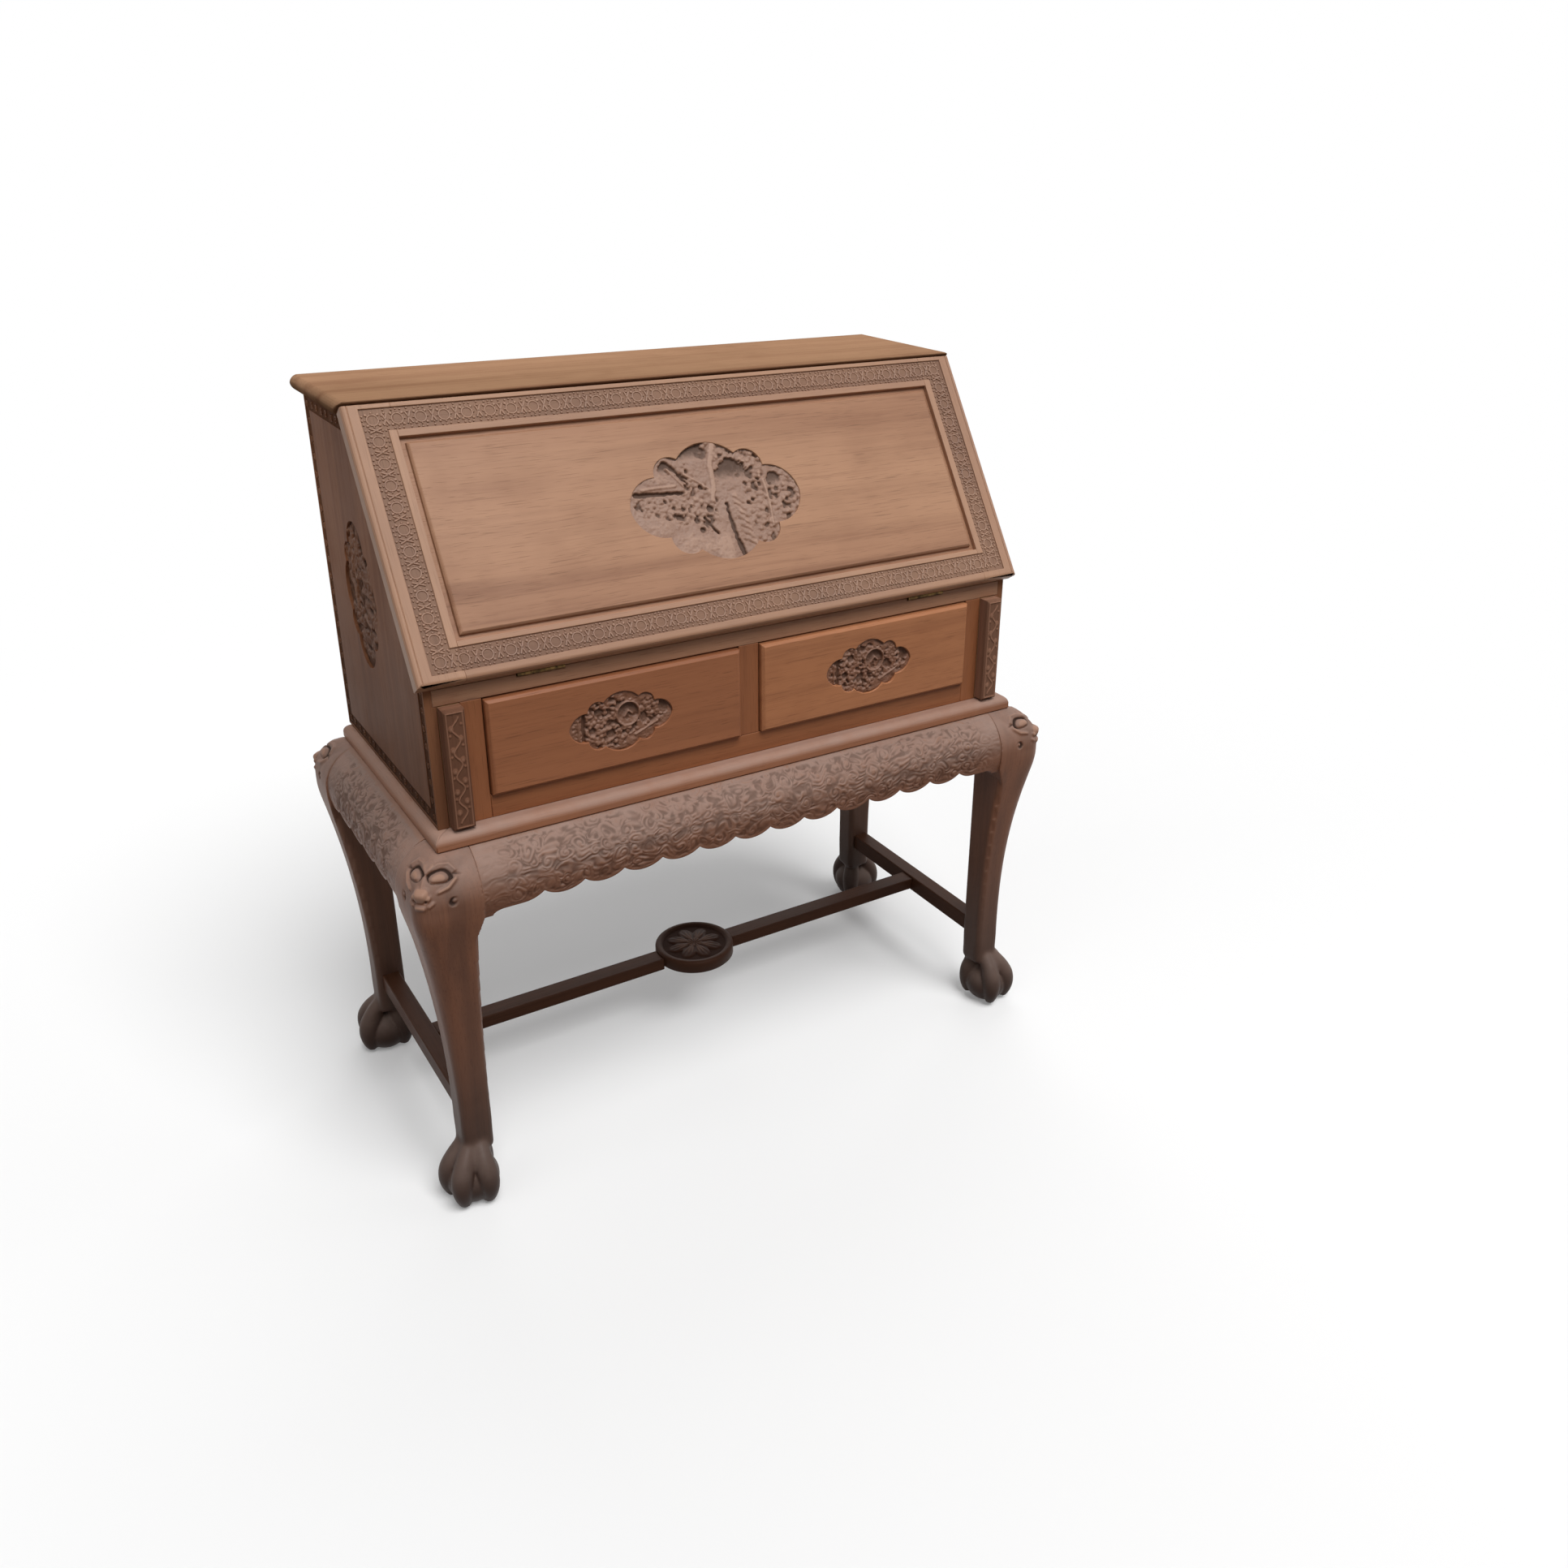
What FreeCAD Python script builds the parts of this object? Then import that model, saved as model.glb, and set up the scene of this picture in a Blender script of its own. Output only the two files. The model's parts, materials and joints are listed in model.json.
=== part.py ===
import FreeCAD, Part
import Sketcher
import math
import os
from types import SimpleNamespace

# Slant-front bureau: a case with a sloping fall, two drawers and two lopers, on a stand with
# cabriole legs, ball and claw feet, bulging scalloped aprons and an H-shaped stretcher.
# Millimetres. +X is right seen from the front, +Y is the back, +Z is up, and the origin is on the
# floor under the middle of the stand.

DIMENSIONS = {
    # Whole bureau
    "total_height": 1070,
    "case_width": 900,
    "case_reach_front": 190,
    "case_reach_back": 212,
    "side_thickness": 15,
    "back_thickness": 12,
    "rebate_depth": 8,
    "housing_depth": 5,
    # Top board
    "top_thickness": 21.5,
    "top_overhang": 14,
    "top_back_overhang": 6,
    "top_nose": 2,
    "lip_height": 12,
    "lip_round": 12.5,
    "lip_step": 2,
    "top_cove": 12,
    # Writing board and sloping fall
    "writing_height": 755,
    "board_thickness": 22,
    "fall_slope": 56.65,
    "fall_length": 357,
    "fall_half_width": 460,
    "fall_gap": 0.4,
    "fall_top_gap": 2.5,
    "fall_stile": 60,
    "fall_top_rail": 45,
    "fall_bottom_rail": 49,
    "fall_edge_round": 6,
    "fall_top_round": 2,
    "panel_tongue": 8,
    "panel_groove_depth": 10,
    "panel_margin": 7,
    "panel_bevel": 3,
    "rail_tenon": 26,
    "rail_tenon_inset": 13,
    "rail_tenon_haunch": 2,
    # Carved recesses
    "recess_depth": 7,
    "fall_recess_width": 260,
    "fall_recess_height": 168,
    "drawer_recess_width": 148,
    "drawer_recess_height": 80,
    "side_recess_width": 142,
    "side_recess_height": 199,
    "side_recess_back": 44,
    "side_recess_level": 810,
    "side_recess_depth": 6,
    # Drawers and lopers
    "drawer_opening_low": 599,
    "drawer_inner_edge": 15.5,
    "drawer_outer_edge": 379,
    "drawer_play": 1.3,
    "drawer_top_gap": 2,
    "drawer_proud": 9,
    "drawer_front_thickness": 21,
    "drawer_front_bevel": 4,
    "drawer_wall": 10,
    "drawer_lap": 12,
    "drawer_length": 340,
    "drawer_floor": 6,
    "drawer_floor_lift": 8,
    "drawer_floor_tongue": 4,
    "drawer_wall_drop": 9,
    "front_rail_depth": 22,
    "dustboard_thickness": 14,
    "guide_height": 23,
    "loper_width": 27.5,
    "loper_play": 0.5,
    "loper_length": 375,
    "loper_face": 20,
    "loper_face_lift": 3,
    "loper_bevel": 3,
    # Fitted inside
    "inside_front": 60,
    "shelf_level": 818,
    "shelf_thickness": 9,
    "divider_place": 145,
    "small_drawer_front": 12,
    "small_drawer_wall": 7,
    "small_drawer_length": 128,
    "small_drawer_floor": 4,
    "knob_radius": 9,
    "knob_length": 18,
    # Hinges
    "hinge_place": 300,
    "hinge_length": 63,
    "hinge_leaf": 22,
    "hinge_thickness": 2,
    "knuckle_radius": 3.2,
    "knuckle_clearance": 0.6,
    "hinge_pin_radius": 1.3,
    "hinge_pin_play": 0.05,
    # Frame on top of the stand
    "frame_half_width": 461,
    "frame_half_depth": 212,
    "frame_thickness": 20,
    "frame_rail_width": 62,
    "frame_nose_height": 12,
    "frame_nose_depth": 12,
    # Legs
    "stand_height": 548,
    "leg_place_side": 428,
    "leg_place_depth": 173,
    "leg_block": 8,
    "leg_block_low": 462,
    "leg_block_end": 440,
    "leg_top_reach": 35,
    "knee_reach": 78,
    "knee_height": 490,
    "knee_low_reach": 74,
    "knee_low_height": 450,
    "leg_sweep": 1540,
    "ankle_width": 44,
    "ankle_height": 110,
    "ankle_low": 78,
    "leg_round": 8,
    "knee_round": 24,
    # Ball and claw feet
    "foot_reach": 33.5,
    "ball_radius": 36,
    "ball_cut_angle": 68,
    "claw_radius": 15.3,
    # Aprons
    "apron_back": 8,
    "apron_top_reach": 35,
    "apron_bulge_reach": 76,
    "apron_bulge_height": 490,
    "apron_low_reach": 70,
    "apron_foot": 458,
    "lobe_low": 466,
    "lobe_cusp": 477,
    "lobe_pitch": 56.5,
    "bracket_run": 16,
    "bracket_end": 12,
    "apron_joint_gap": 0.2,
    "apron_tenon": 18,
    "apron_tenon_near": 18,
    "apron_tenon_far": 29,
    "apron_tenon_low": 488,
    "apron_tenon_high": 534,
    # Stretchers
    "stretcher_top": 150,
    "side_stretcher_height": 28,
    "side_stretcher_width": 26,
    "stretcher_tenon": 16,
    "stretcher_tenon_width": 10,
    "stretcher_tenon_inset": 4,
    "medial_top": 147,
    "medial_height": 20,
    "medial_width": 30,
    "medial_tenon": 12,
    "roundel_radius": 64,
    "roundel_top": 152,
    "roundel_height": 22,
    "roundel_rim": 9,
    "roundel_sink": 4,
    "roundel_bevel": 3,
    "roundel_round": 5,
}

FRONT_APRON_CUSPS = 13
SIDE_APRON_CUSPS = 5
CARTOUCHE_CUSP = (0.34, 0.76)
CARTOUCHE_SHOULDER = (0.64, 0.50)
TIP_CURVE = 0.72
TOP_CURVE = 0.68
SHOULDER_CURVE = 0.56
KNOB_NECK = 0.45
KNOB_WAIST = 0.35
KNOB_BRIM = 0.7
COVE_CURVE = 1.05
# How far a cutting outline runs past the wood, and how near a face counts as on it
OVERCUT = 1
TOUCH = 0.01
SIDES = (("right", 1), ("left", -1))


class Size:
    """A number with the sheet expression that it comes from."""

    def __init__(self, value, text=None):
        self.value = float(value)
        self.text = repr(float(value)) if text is None else text

    @staticmethod
    def of(other):
        """Read a plain number as a size."""
        return other if isinstance(other, Size) else Size(other)

    def __add__(self, other):
        other = Size.of(other)
        return Size(self.value + other.value, f"({self.text} + {other.text})")

    def __sub__(self, other):
        other = Size.of(other)
        return Size(self.value - other.value, f"({self.text} - {other.text})")

    def __mul__(self, other):
        other = Size.of(other)
        return Size(self.value * other.value, f"({self.text} * {other.text})")

    def __truediv__(self, other):
        other = Size.of(other)
        return Size(self.value / other.value, f"({self.text} / {other.text})")

    def __neg__(self):
        return Size(-self.value, f"(0 - {self.text})")

    def __radd__(self, other):
        return Size.of(other) + self

    def __rsub__(self, other):
        return Size.of(other) - self

    def __rmul__(self, other):
        return Size.of(other) * self


def sine(angle):
    """Sine of a size in degrees."""
    return Size(math.sin(math.radians(angle.value)), f"sin({angle.text})")


def cosine(angle):
    """Cosine of a size in degrees."""
    return Size(math.cos(math.radians(angle.value)), f"cos({angle.text})")


def root(square):
    """Square root of a size."""
    return Size(math.sqrt(square.value), f"sqrt({square.text})")


doc = FreeCAD.newDocument("slant_front_bureau")
sheet = doc.addObject("Spreadsheet::Sheet", "Sizes")
for line, (alias, number) in enumerate(DIMENSIONS.items(), 1):
    sheet.set(f"A{line}", alias)
    sheet.set(f"B{line}", str(number))
    sheet.setAlias(f"B{line}", alias)
doc.recompute()

size = SimpleNamespace(**{name: Size(number, f"Sizes.{name}") for name, number in DIMENSIONS.items()})
NODES = []

# Levels and faces that several pieces share
CASE_BASE = size.stand_height + size.frame_thickness
CASE_HALF = size.case_width / 2
CASE_INNER = CASE_HALF - size.side_thickness
CASE_FRONT = -size.case_reach_front
CASE_BACK = size.case_reach_back
BACK_INNER = CASE_BACK - size.back_thickness
TOP_UNDER = size.total_height - size.top_thickness
BOARD_UNDER = size.writing_height - size.board_thickness
SLOPE_SINE = sine(size.fall_slope)
SLOPE_COSINE = cosine(size.fall_slope)
SLOPE_AT_TOP = CASE_FRONT + (TOP_UNDER - size.writing_height) * SLOPE_COSINE / SLOPE_SINE
FALL_OUTER = size.fall_gap + size.board_thickness
PARTITION_OUTER = CASE_INNER - size.loper_width - 2 * size.loper_play


def node(piece, label):
    """Give a finished sub-part its name and list it for writing."""
    piece.Label = label
    NODES.append(piece)
    return piece


def bind(piece, **expressions):
    """Bind properties of an object to sizes; a double underscore stands for a dot."""
    for name, value in expressions.items():
        piece.setExpression(name.replace("__", "."), Size.of(value).text)


def board(name, x, y, z):
    """A rectangular board between pairs of sizes along X, Y and Z."""
    piece = doc.addObject("Part::Box", name)
    bind(piece, Length=x[1] - x[0], Width=y[1] - y[0], Height=z[1] - z[0])
    bind(piece, Placement__Base__x=x[0], Placement__Base__y=y[0], Placement__Base__z=z[0])
    return piece


def compound(name, pieces):
    """Hold several separate pieces as one object."""
    group = doc.addObject("Part::Compound", name)
    group.Links = pieces
    return group


def fused(name, pieces):
    """Join pieces into one solid."""
    joined = doc.addObject("Part::MultiFuse", name)
    joined.Shapes = pieces
    return joined


def cut(name, base, tools):
    """Take tool shapes that don't overlap each other away from a base shape."""
    piece = doc.addObject("Part::Cut", name)
    piece.Base = base
    piece.Tool = tools[0] if len(tools) == 1 else compound(f"{name}_tools", tools)
    return piece


def mirrored(name, source, normal):
    """The mirror image of a piece in a plane through the origin."""
    image = doc.addObject("Part::Mirroring", name)
    image.Source = source
    image.Normal = normal
    return image


ACROSS = FreeCAD.Vector(1, 0, 0)
THROUGH = FreeCAD.Vector(0, 1, 0)
UP = FreeCAD.Vector(0, 0, 1)


def new_body(name):
    """An empty body for sketched features."""
    return doc.addObject("PartDesign::Body", name)


def arc_edge(start, end, radius):
    """The short arc from start to end: a positive radius bulges to the right of the way along it."""
    middle = (start + end) / 2
    along = end - start
    left = FreeCAD.Vector(-along.y, along.x, 0).normalize()
    offset = math.sqrt(radius * radius - along.Length * along.Length / 4)
    centre = middle + left * math.copysign(offset, radius)
    circle = Part.Circle(centre, UP, abs(radius))
    first, last = (start, end) if radius > 0 else (end, start)
    angles = [math.atan2(point.y - centre.y, point.x - centre.x) for point in (first, last)]
    return Part.ArcOfCircle(circle, *angles)


def outline(body, name, plane, corners, lift=0):
    """Draw a closed anticlockwise outline on one of a body's origin planes.

    A corner is (x, y), or (x, y, radius) where the edge that leaves it is an arc that bulges out of
    the outline for a positive radius and into it for a negative one.
    """
    sketch = body.newObject("Sketcher::SketchObject", f"{body.Name}_{name}")
    support = [feature for feature in body.Origin.OriginFeatures if feature.Role == plane][0]
    sketch.AttachmentSupport = [(support, "")]
    sketch.MapMode = "FlatFace"
    bind(sketch, AttachmentOffset__Base__z=lift)
    corners = [tuple(Size.of(entry) for entry in corner) for corner in corners]
    points = [FreeCAD.Vector(corner[0].value, corner[1].value, 0) for corner in corners]
    ends = []
    for index, corner in enumerate(corners):
        start, end = points[index], points[(index + 1) % len(points)]
        if len(corner) == 3:
            sketch.addGeometry(arc_edge(start, end, corner[2].value))
            ends.append((1, 2) if corner[2].value > 0 else (2, 1))
        else:
            sketch.addGeometry(Part.LineSegment(start, end))
            ends.append((1, 2))
    for index in range(len(corners)):
        following = (index + 1) % len(corners)
        sketch.addConstraint(
            Sketcher.Constraint("Coincident", index, ends[index][1], following, ends[following][0]))
    for index, corner in enumerate(corners):
        for kind, axis, place in (("DistanceX", -2, corner[0]), ("DistanceY", -1, corner[1])):
            if abs(place.value) < 1e-9:
                rule = Sketcher.Constraint("PointOnObject", index, ends[index][0], axis)
                sketch.addConstraint(rule)
                continue
            rule = Sketcher.Constraint(kind, -1, 1, index, ends[index][0], place.value)
            number = sketch.addConstraint(rule)
            sketch.renameConstraint(number, f"{kind}{index}")
            sketch.setExpression(f"Constraints.{kind}{index}", place.text)
        if len(corner) == 3:
            radius = corner[2] if corner[2].value > 0 else -corner[2]
            number = sketch.addConstraint(Sketcher.Constraint("Radius", index, radius.value))
            sketch.renameConstraint(number, f"Radius{index}")
            sketch.setExpression(f"Constraints.Radius{index}", radius.text)
    return sketch


def rectangle(x, y):
    """The corners of a rectangle between pairs of sizes."""
    return [(x[0], y[0]), (x[1], y[0]), (x[1], y[1]), (x[0], y[1])]


def pad(body, sketch, length, symmetric=False, backwards=False):
    """Raise a sketch into the body's solid."""
    feature = body.newObject("PartDesign::Pad", f"{sketch.Name}_pad")
    feature.Profile = sketch
    bind(feature, Length=length)
    feature.SideType = "Symmetric" if symmetric else "One side"
    feature.Reversed = backwards
    return feature


def pocket(body, sketch, depth=None, backwards=False):
    """Cut a sketch out of the body's solid, right through it both ways where no depth is given."""
    feature = body.newObject("PartDesign::Pocket", f"{sketch.Name}_pocket")
    feature.Profile = sketch
    if depth is None:
        feature.Type = "ThroughAll"
        feature.SideType = "Symmetric"
    else:
        bind(feature, Length=depth)
        feature.Reversed = backwards
    return feature


def row(body, feature, pitch, count):
    """Repeat a feature along the body's X axis, evenly about its middle."""
    pattern = body.newObject("PartDesign::LinearPattern", f"{feature.Name}_row")
    pattern.Originals = [feature]
    axis = [entry for entry in body.Origin.OriginFeatures if entry.Role == "X_Axis"][0]
    pattern.Direction = (axis, [""])
    pattern.Mode = "Spacing"
    bind(pattern, Offset=pitch)
    pattern.Occurrences = count
    body.Tip = pattern
    return pattern


def bevelled(body, bevel, chosen, kind="Chamfer"):
    """Chamfer or round the edges of a body that a test picks."""
    doc.recompute()
    names = [f"Edge{index}" for index, edge in enumerate(body.Shape.Edges, 1) if chosen(edge)]
    feature = body.newObject(f"PartDesign::{kind}", f"{body.Name}_{kind.lower()}")
    feature.Base = (body.Tip if body.Tip != feature else feature.BaseFeature, names)
    bind(feature, **{"Size" if kind == "Chamfer" else "Radius": bevel})
    return feature


def cartouche(width, height, x=0, y=0):
    """The lobed outline of a carved recess about a middle point, with pointed ends.

    Each lobe is an arc whose radius is a share of the chord between its cusps.
    """
    half, tall = width / 2, height / 2
    cusp = (half * CARTOUCHE_CUSP[0], tall * CARTOUCHE_CUSP[1])
    shoulder = (half * CARTOUCHE_SHOULDER[0], tall * CARTOUCHE_SHOULDER[1])
    lobes = [
        (shoulder[0], -shoulder[1], TIP_CURVE),
        (half, Size(0), TIP_CURVE),
        (shoulder[0], shoulder[1], SHOULDER_CURVE),
        (cusp[0], cusp[1], TOP_CURVE),
        (-cusp[0], cusp[1], SHOULDER_CURVE),
        (-shoulder[0], shoulder[1], TIP_CURVE),
        (-half, Size(0), TIP_CURVE),
        (-shoulder[0], -shoulder[1], SHOULDER_CURVE),
        (-cusp[0], -cusp[1], TOP_CURVE),
        (cusp[0], -cusp[1], SHOULDER_CURVE),
    ]
    corners = []
    for index, (across, along, share) in enumerate(lobes):
        following = lobes[(index + 1) % len(lobes)]
        run, rise = following[0] - across, following[1] - along
        corners.append((across + x, along + y, root(run * run + rise * rise) * share))
    return corners


def build_legs():
    """Four cabriole legs: each sawn to one outline on two faces, rounded, on a ball and claw."""
    reach_rise = size.stand_height - size.knee_height
    reach_run = size.knee_reach - size.leg_top_reach
    knee_drop = size.knee_height - size.knee_low_height
    knee_back = size.knee_reach - size.knee_low_reach
    knee_round = (reach_run * reach_run + reach_rise * reach_rise) / (2 * reach_run)
    knee_under = (knee_back * knee_back + knee_drop * knee_drop) / (2 * knee_back)

    def profile(place):
        return [
            (place, size.ankle_low),
            (place + size.ankle_width, size.ankle_low),
            (place + size.ankle_width, size.ankle_height, -size.leg_sweep),
            (place + size.knee_low_reach, size.knee_low_height, knee_under),
            (place + size.knee_reach, size.knee_height, knee_round),
            (place + size.leg_top_reach, size.stand_height),
            (place - size.leg_block, size.stand_height),
            (place - size.leg_block, size.leg_block_low),
            (place, size.leg_block_end),
        ]

    stock = size.knee_reach + 2 * size.leg_block
    sawn_front = new_body("leg_sawn_front")
    outer = -(size.leg_place_depth + size.knee_reach + size.leg_block)
    pad(sawn_front, outline(sawn_front, "profile", "XZ_Plane", profile(size.leg_place_side), outer),
        stock + size.leg_block)
    sawn_side = new_body("leg_sawn_side")
    inner = size.leg_place_side - 2 * size.leg_block
    pad(sawn_side, outline(sawn_side, "profile", "YZ_Plane", profile(size.leg_place_depth), inner),
        stock + size.leg_block)
    blank = doc.addObject("Part::Common", "leg_blank")
    blank.Base = sawn_front
    blank.Tool = sawn_side
    doc.recompute()

    # The outer arris is rounded over all the way down, widest at the knee, and the other three
    # below the apron.
    outer_x = size.leg_place_side.value + size.ankle_width.value / 2
    outer_y = size.leg_place_depth.value + size.ankle_width.value / 2

    def outermost(edge):
        return edge.BoundBox.XMin > outer_x and edge.BoundBox.YMin > outer_y

    def arris(edge):
        box = edge.BoundBox
        upright = box.ZMax - box.ZMin > size.leg_block.value
        return upright and (outermost(edge) or box.ZMax < size.leg_block_end.value + OVERCUT)

    def knee_share(height):
        below = (size.knee_low_height - size.ankle_height).value
        return min(max((height - size.ankle_height.value) / below, 0), 1)

    def radii(edge):
        wider = (size.knee_round - size.leg_round).value if outermost(edge) else 0
        return [size.leg_round.value + wider * knee_share(end.Z) for end in edge.Vertexes]

    shaped = doc.addObject("Part::Fillet", "leg_shaped")
    shaped.Base = blank
    shaped.Edges = [(index, *radii(edge)) for index, edge in enumerate(blank.Shape.Edges, 1) if arris(edge)]

    foot = [size.leg_place_side + size.foot_reach, size.leg_place_depth + size.foot_reach]
    ball = doc.addObject("Part::Sphere", "leg_ball")
    bind(ball, Radius=size.ball_radius, Angle1=-size.ball_cut_angle)
    bind(ball, Placement__Base__x=foot[0], Placement__Base__y=foot[1],
         Placement__Base__z=size.ball_radius * sine(size.ball_cut_angle))
    claws = [claw(index, foot, turn) for index, turn in enumerate(TOE_TURNS)]

    whole = fused("leg_whole", [shaped, ball] + claws)
    near, far = size.apron_tenon_near, size.apron_tenon_far
    apron_z = (size.apron_tenon_low, size.apron_tenon_high)
    deep = size.apron_tenon - size.leg_block
    x_place, y_place = size.leg_place_side, size.leg_place_depth
    mortises = [
        board("leg_front_mortise", (x_place - size.leg_block, x_place + deep),
              (y_place + near, y_place + far), apron_z),
        board("leg_side_mortise", (x_place + near, x_place + far),
              (y_place - size.leg_block, y_place + deep), apron_z),
        board("leg_stretcher_mortise", stretcher_tenon_x(), (y_place, y_place + size.stretcher_tenon),
              stretcher_tenon_z()),
    ]
    back_right = node(cut("leg_back_right", whole, mortises), "back_right_leg")
    back_left = node(mirrored("leg_back_left", back_right, ACROSS), "back_left_leg")
    node(mirrored("leg_front_right", back_right, THROUGH), "front_right_leg")
    node(mirrored("leg_front_left", back_left, THROUGH), "front_left_leg")


# Stations down a claw: how far the toe stands out from the foot's middle, its height, its
# thickness as a share of the claw's and how far its middle has moved from the ankle to the foot.
CLAW_STATIONS = (
    (9, 100, 0.5, 0.1),
    (16, 84, 0.74, 0.5),
    (24.5, 65, 0.97, 0.85),
    (31, 44, 1.02, 1.0),
    (32, 26, 0.86, 1.0),
    (28.5, 8, 0.52, 1.0),
)
# Three toes to the front about the outward diagonal, and one behind.
TOE_TURNS = (45, -23, 113, 225)


def claw(index, foot, turn):
    """One toe that grips the ball, lofted through circles down its length."""
    ankle = size.ankle_width.value / 2
    shift = size.foot_reach.value - ankle
    out = FreeCAD.Vector(math.cos(math.radians(turn)), math.sin(math.radians(turn)), 0)
    centres = []
    for reach, height, _, moved in CLAW_STATIONS:
        middle = FreeCAD.Vector(foot[0].value, foot[1].value, height)
        back = shift * (1 - moved)
        centres.append(middle - FreeCAD.Vector(back, back, 0) + out * reach)
    circles = []
    for station, centre in enumerate(centres):
        before = centres[max(station - 1, 0)]
        after = centres[min(station + 1, len(centres) - 1)]
        circle = doc.addObject("Part::Circle", f"claw_{index}_{station}")
        bind(circle, Radius=size.claw_radius * CLAW_STATIONS[station][2])
        circle.Placement = FreeCAD.Placement(centre, FreeCAD.Rotation(UP, before - after))
        circles.append(circle)
    toe = doc.addObject("Part::Loft", f"claw_{index}")
    toe.Sections = circles
    toe.Solid = True
    return toe


def stretcher_tenon_x():
    """Where a side stretcher's tenon lies across the leg."""
    middle = size.leg_place_side + size.ankle_width / 2
    return (middle - size.stretcher_tenon_width / 2, middle + size.stretcher_tenon_width / 2)


def stretcher_tenon_z():
    """Heights of a side stretcher's tenon."""
    inset = size.stretcher_tenon_inset
    return (size.stretcher_top - size.side_stretcher_height + inset, size.stretcher_top - inset)


def build_apron(label, turn, half_length, standoff, cusps):
    """A bulging apron with a scalloped lower edge, tenoned into the legs at both ends."""
    body = new_body(label)
    crown_rise = size.stand_height - size.apron_bulge_height
    crown_run = size.apron_bulge_reach - size.apron_top_reach
    crown = (crown_run * crown_run + crown_rise * crown_rise) / (2 * crown_run)
    tuck_run = size.apron_bulge_reach - size.apron_low_reach
    tuck_drop = size.apron_bulge_height - size.apron_foot
    tuck = (tuck_run * tuck_run + tuck_drop * tuck_drop) / (2 * tuck_run)

    def out(reach):
        return -(standoff + reach)

    section = [
        (out(size.apron_low_reach), size.apron_foot),
        (out(size.apron_back), size.apron_foot),
        (out(size.apron_back), size.stand_height),
        (out(size.apron_top_reach), size.stand_height, crown),
        (out(size.apron_bulge_reach), size.apron_bulge_height, tuck),
    ]
    shoulder = half_length - size.apron_joint_gap
    pad(body, outline(body, "section", "YZ_Plane", section), 2 * shoulder, symmetric=True)
    tenon = rectangle((out(size.apron_tenon_far), out(size.apron_tenon_near)),
                      (size.apron_tenon_low, size.apron_tenon_high))
    tenon_end = half_length + size.apron_tenon
    pad(body, outline(body, "tenon", "YZ_Plane", tenon), 2 * tenon_end, symmetric=True)

    below = size.apron_foot - OVERCUT
    bracket = shoulder - size.bracket_end
    arch = [
        (-bracket, below),
        (bracket, below),
        (bracket, size.apron_foot, -size.bracket_run),
        (bracket - size.bracket_run, size.lobe_low),
        (size.bracket_run - bracket, size.lobe_low, -size.bracket_run),
        (-bracket, size.apron_foot),
    ]
    pocket(body, outline(body, "arch", "XZ_Plane", arch))
    half_pitch = size.lobe_pitch / 2
    notch_rise = size.lobe_cusp - size.lobe_low
    lobe = (half_pitch * half_pitch + notch_rise * notch_rise) / (2 * notch_rise)
    first = -size.lobe_pitch * ((cusps - 1) / 2)
    notch = [
        (first - half_pitch, size.lobe_low - OVERCUT),
        (first + half_pitch, size.lobe_low - OVERCUT),
        (first + half_pitch, size.lobe_low, -lobe),
        (first, size.lobe_cusp, -lobe),
        (first - half_pitch, size.lobe_low),
    ]
    scallop = pocket(body, outline(body, "notch", "XZ_Plane", notch))
    row(body, scallop, size.lobe_pitch, cusps)
    body.Placement = FreeCAD.Placement(FreeCAD.Vector(), FreeCAD.Rotation(UP, turn))
    node(body, label)


def build_aprons():
    """Aprons on all four sides of the stand."""
    long_half = size.leg_place_side - size.leg_block
    short_half = size.leg_place_depth - size.leg_block
    for label, turn in (("front_apron", 0), ("back_apron", 180)):
        build_apron(label, turn, long_half, size.leg_place_depth, FRONT_APRON_CUSPS)
    for label, turn in (("right_apron", 90), ("left_apron", 270)):
        build_apron(label, turn, short_half, size.leg_place_side, SIDE_APRON_CUSPS)


def build_top_frame():
    """The mitred frame with a moulded nose that lies on the stand and carries the case."""
    lengths = (size.frame_half_width, size.frame_half_depth)
    for index, label in enumerate(("front", "right", "back", "left")):
        half_length, standoff = lengths[index % 2], lengths[1 - index % 2]
        body = new_body(f"{label}_frame_rail")
        inner = size.frame_rail_width - standoff
        low, high = size.stand_height, CASE_BASE
        nose = [
            (-standoff, low),
            (inner, low),
            (inner, high),
            (size.frame_nose_depth - standoff, high, size.frame_nose_depth),
            (-standoff, high - size.frame_nose_height),
        ]
        pad(body, outline(body, "section", "YZ_Plane", nose), 2 * half_length, symmetric=True)
        short = half_length - size.frame_rail_width
        for end, side in SIDES:
            mitre = [
                (side * half_length, -standoff),
                (side * (half_length + OVERCUT), inner + OVERCUT),
                (side * (short - OVERCUT), inner + OVERCUT),
            ]
            pocket(body, outline(body, f"{end}_mitre", "XY_Plane", mitre[::side]))
        body.Placement = FreeCAD.Placement(FreeCAD.Vector(), FreeCAD.Rotation(UP, 90 * index))
        node(body, f"{label}_frame_rail")


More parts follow.
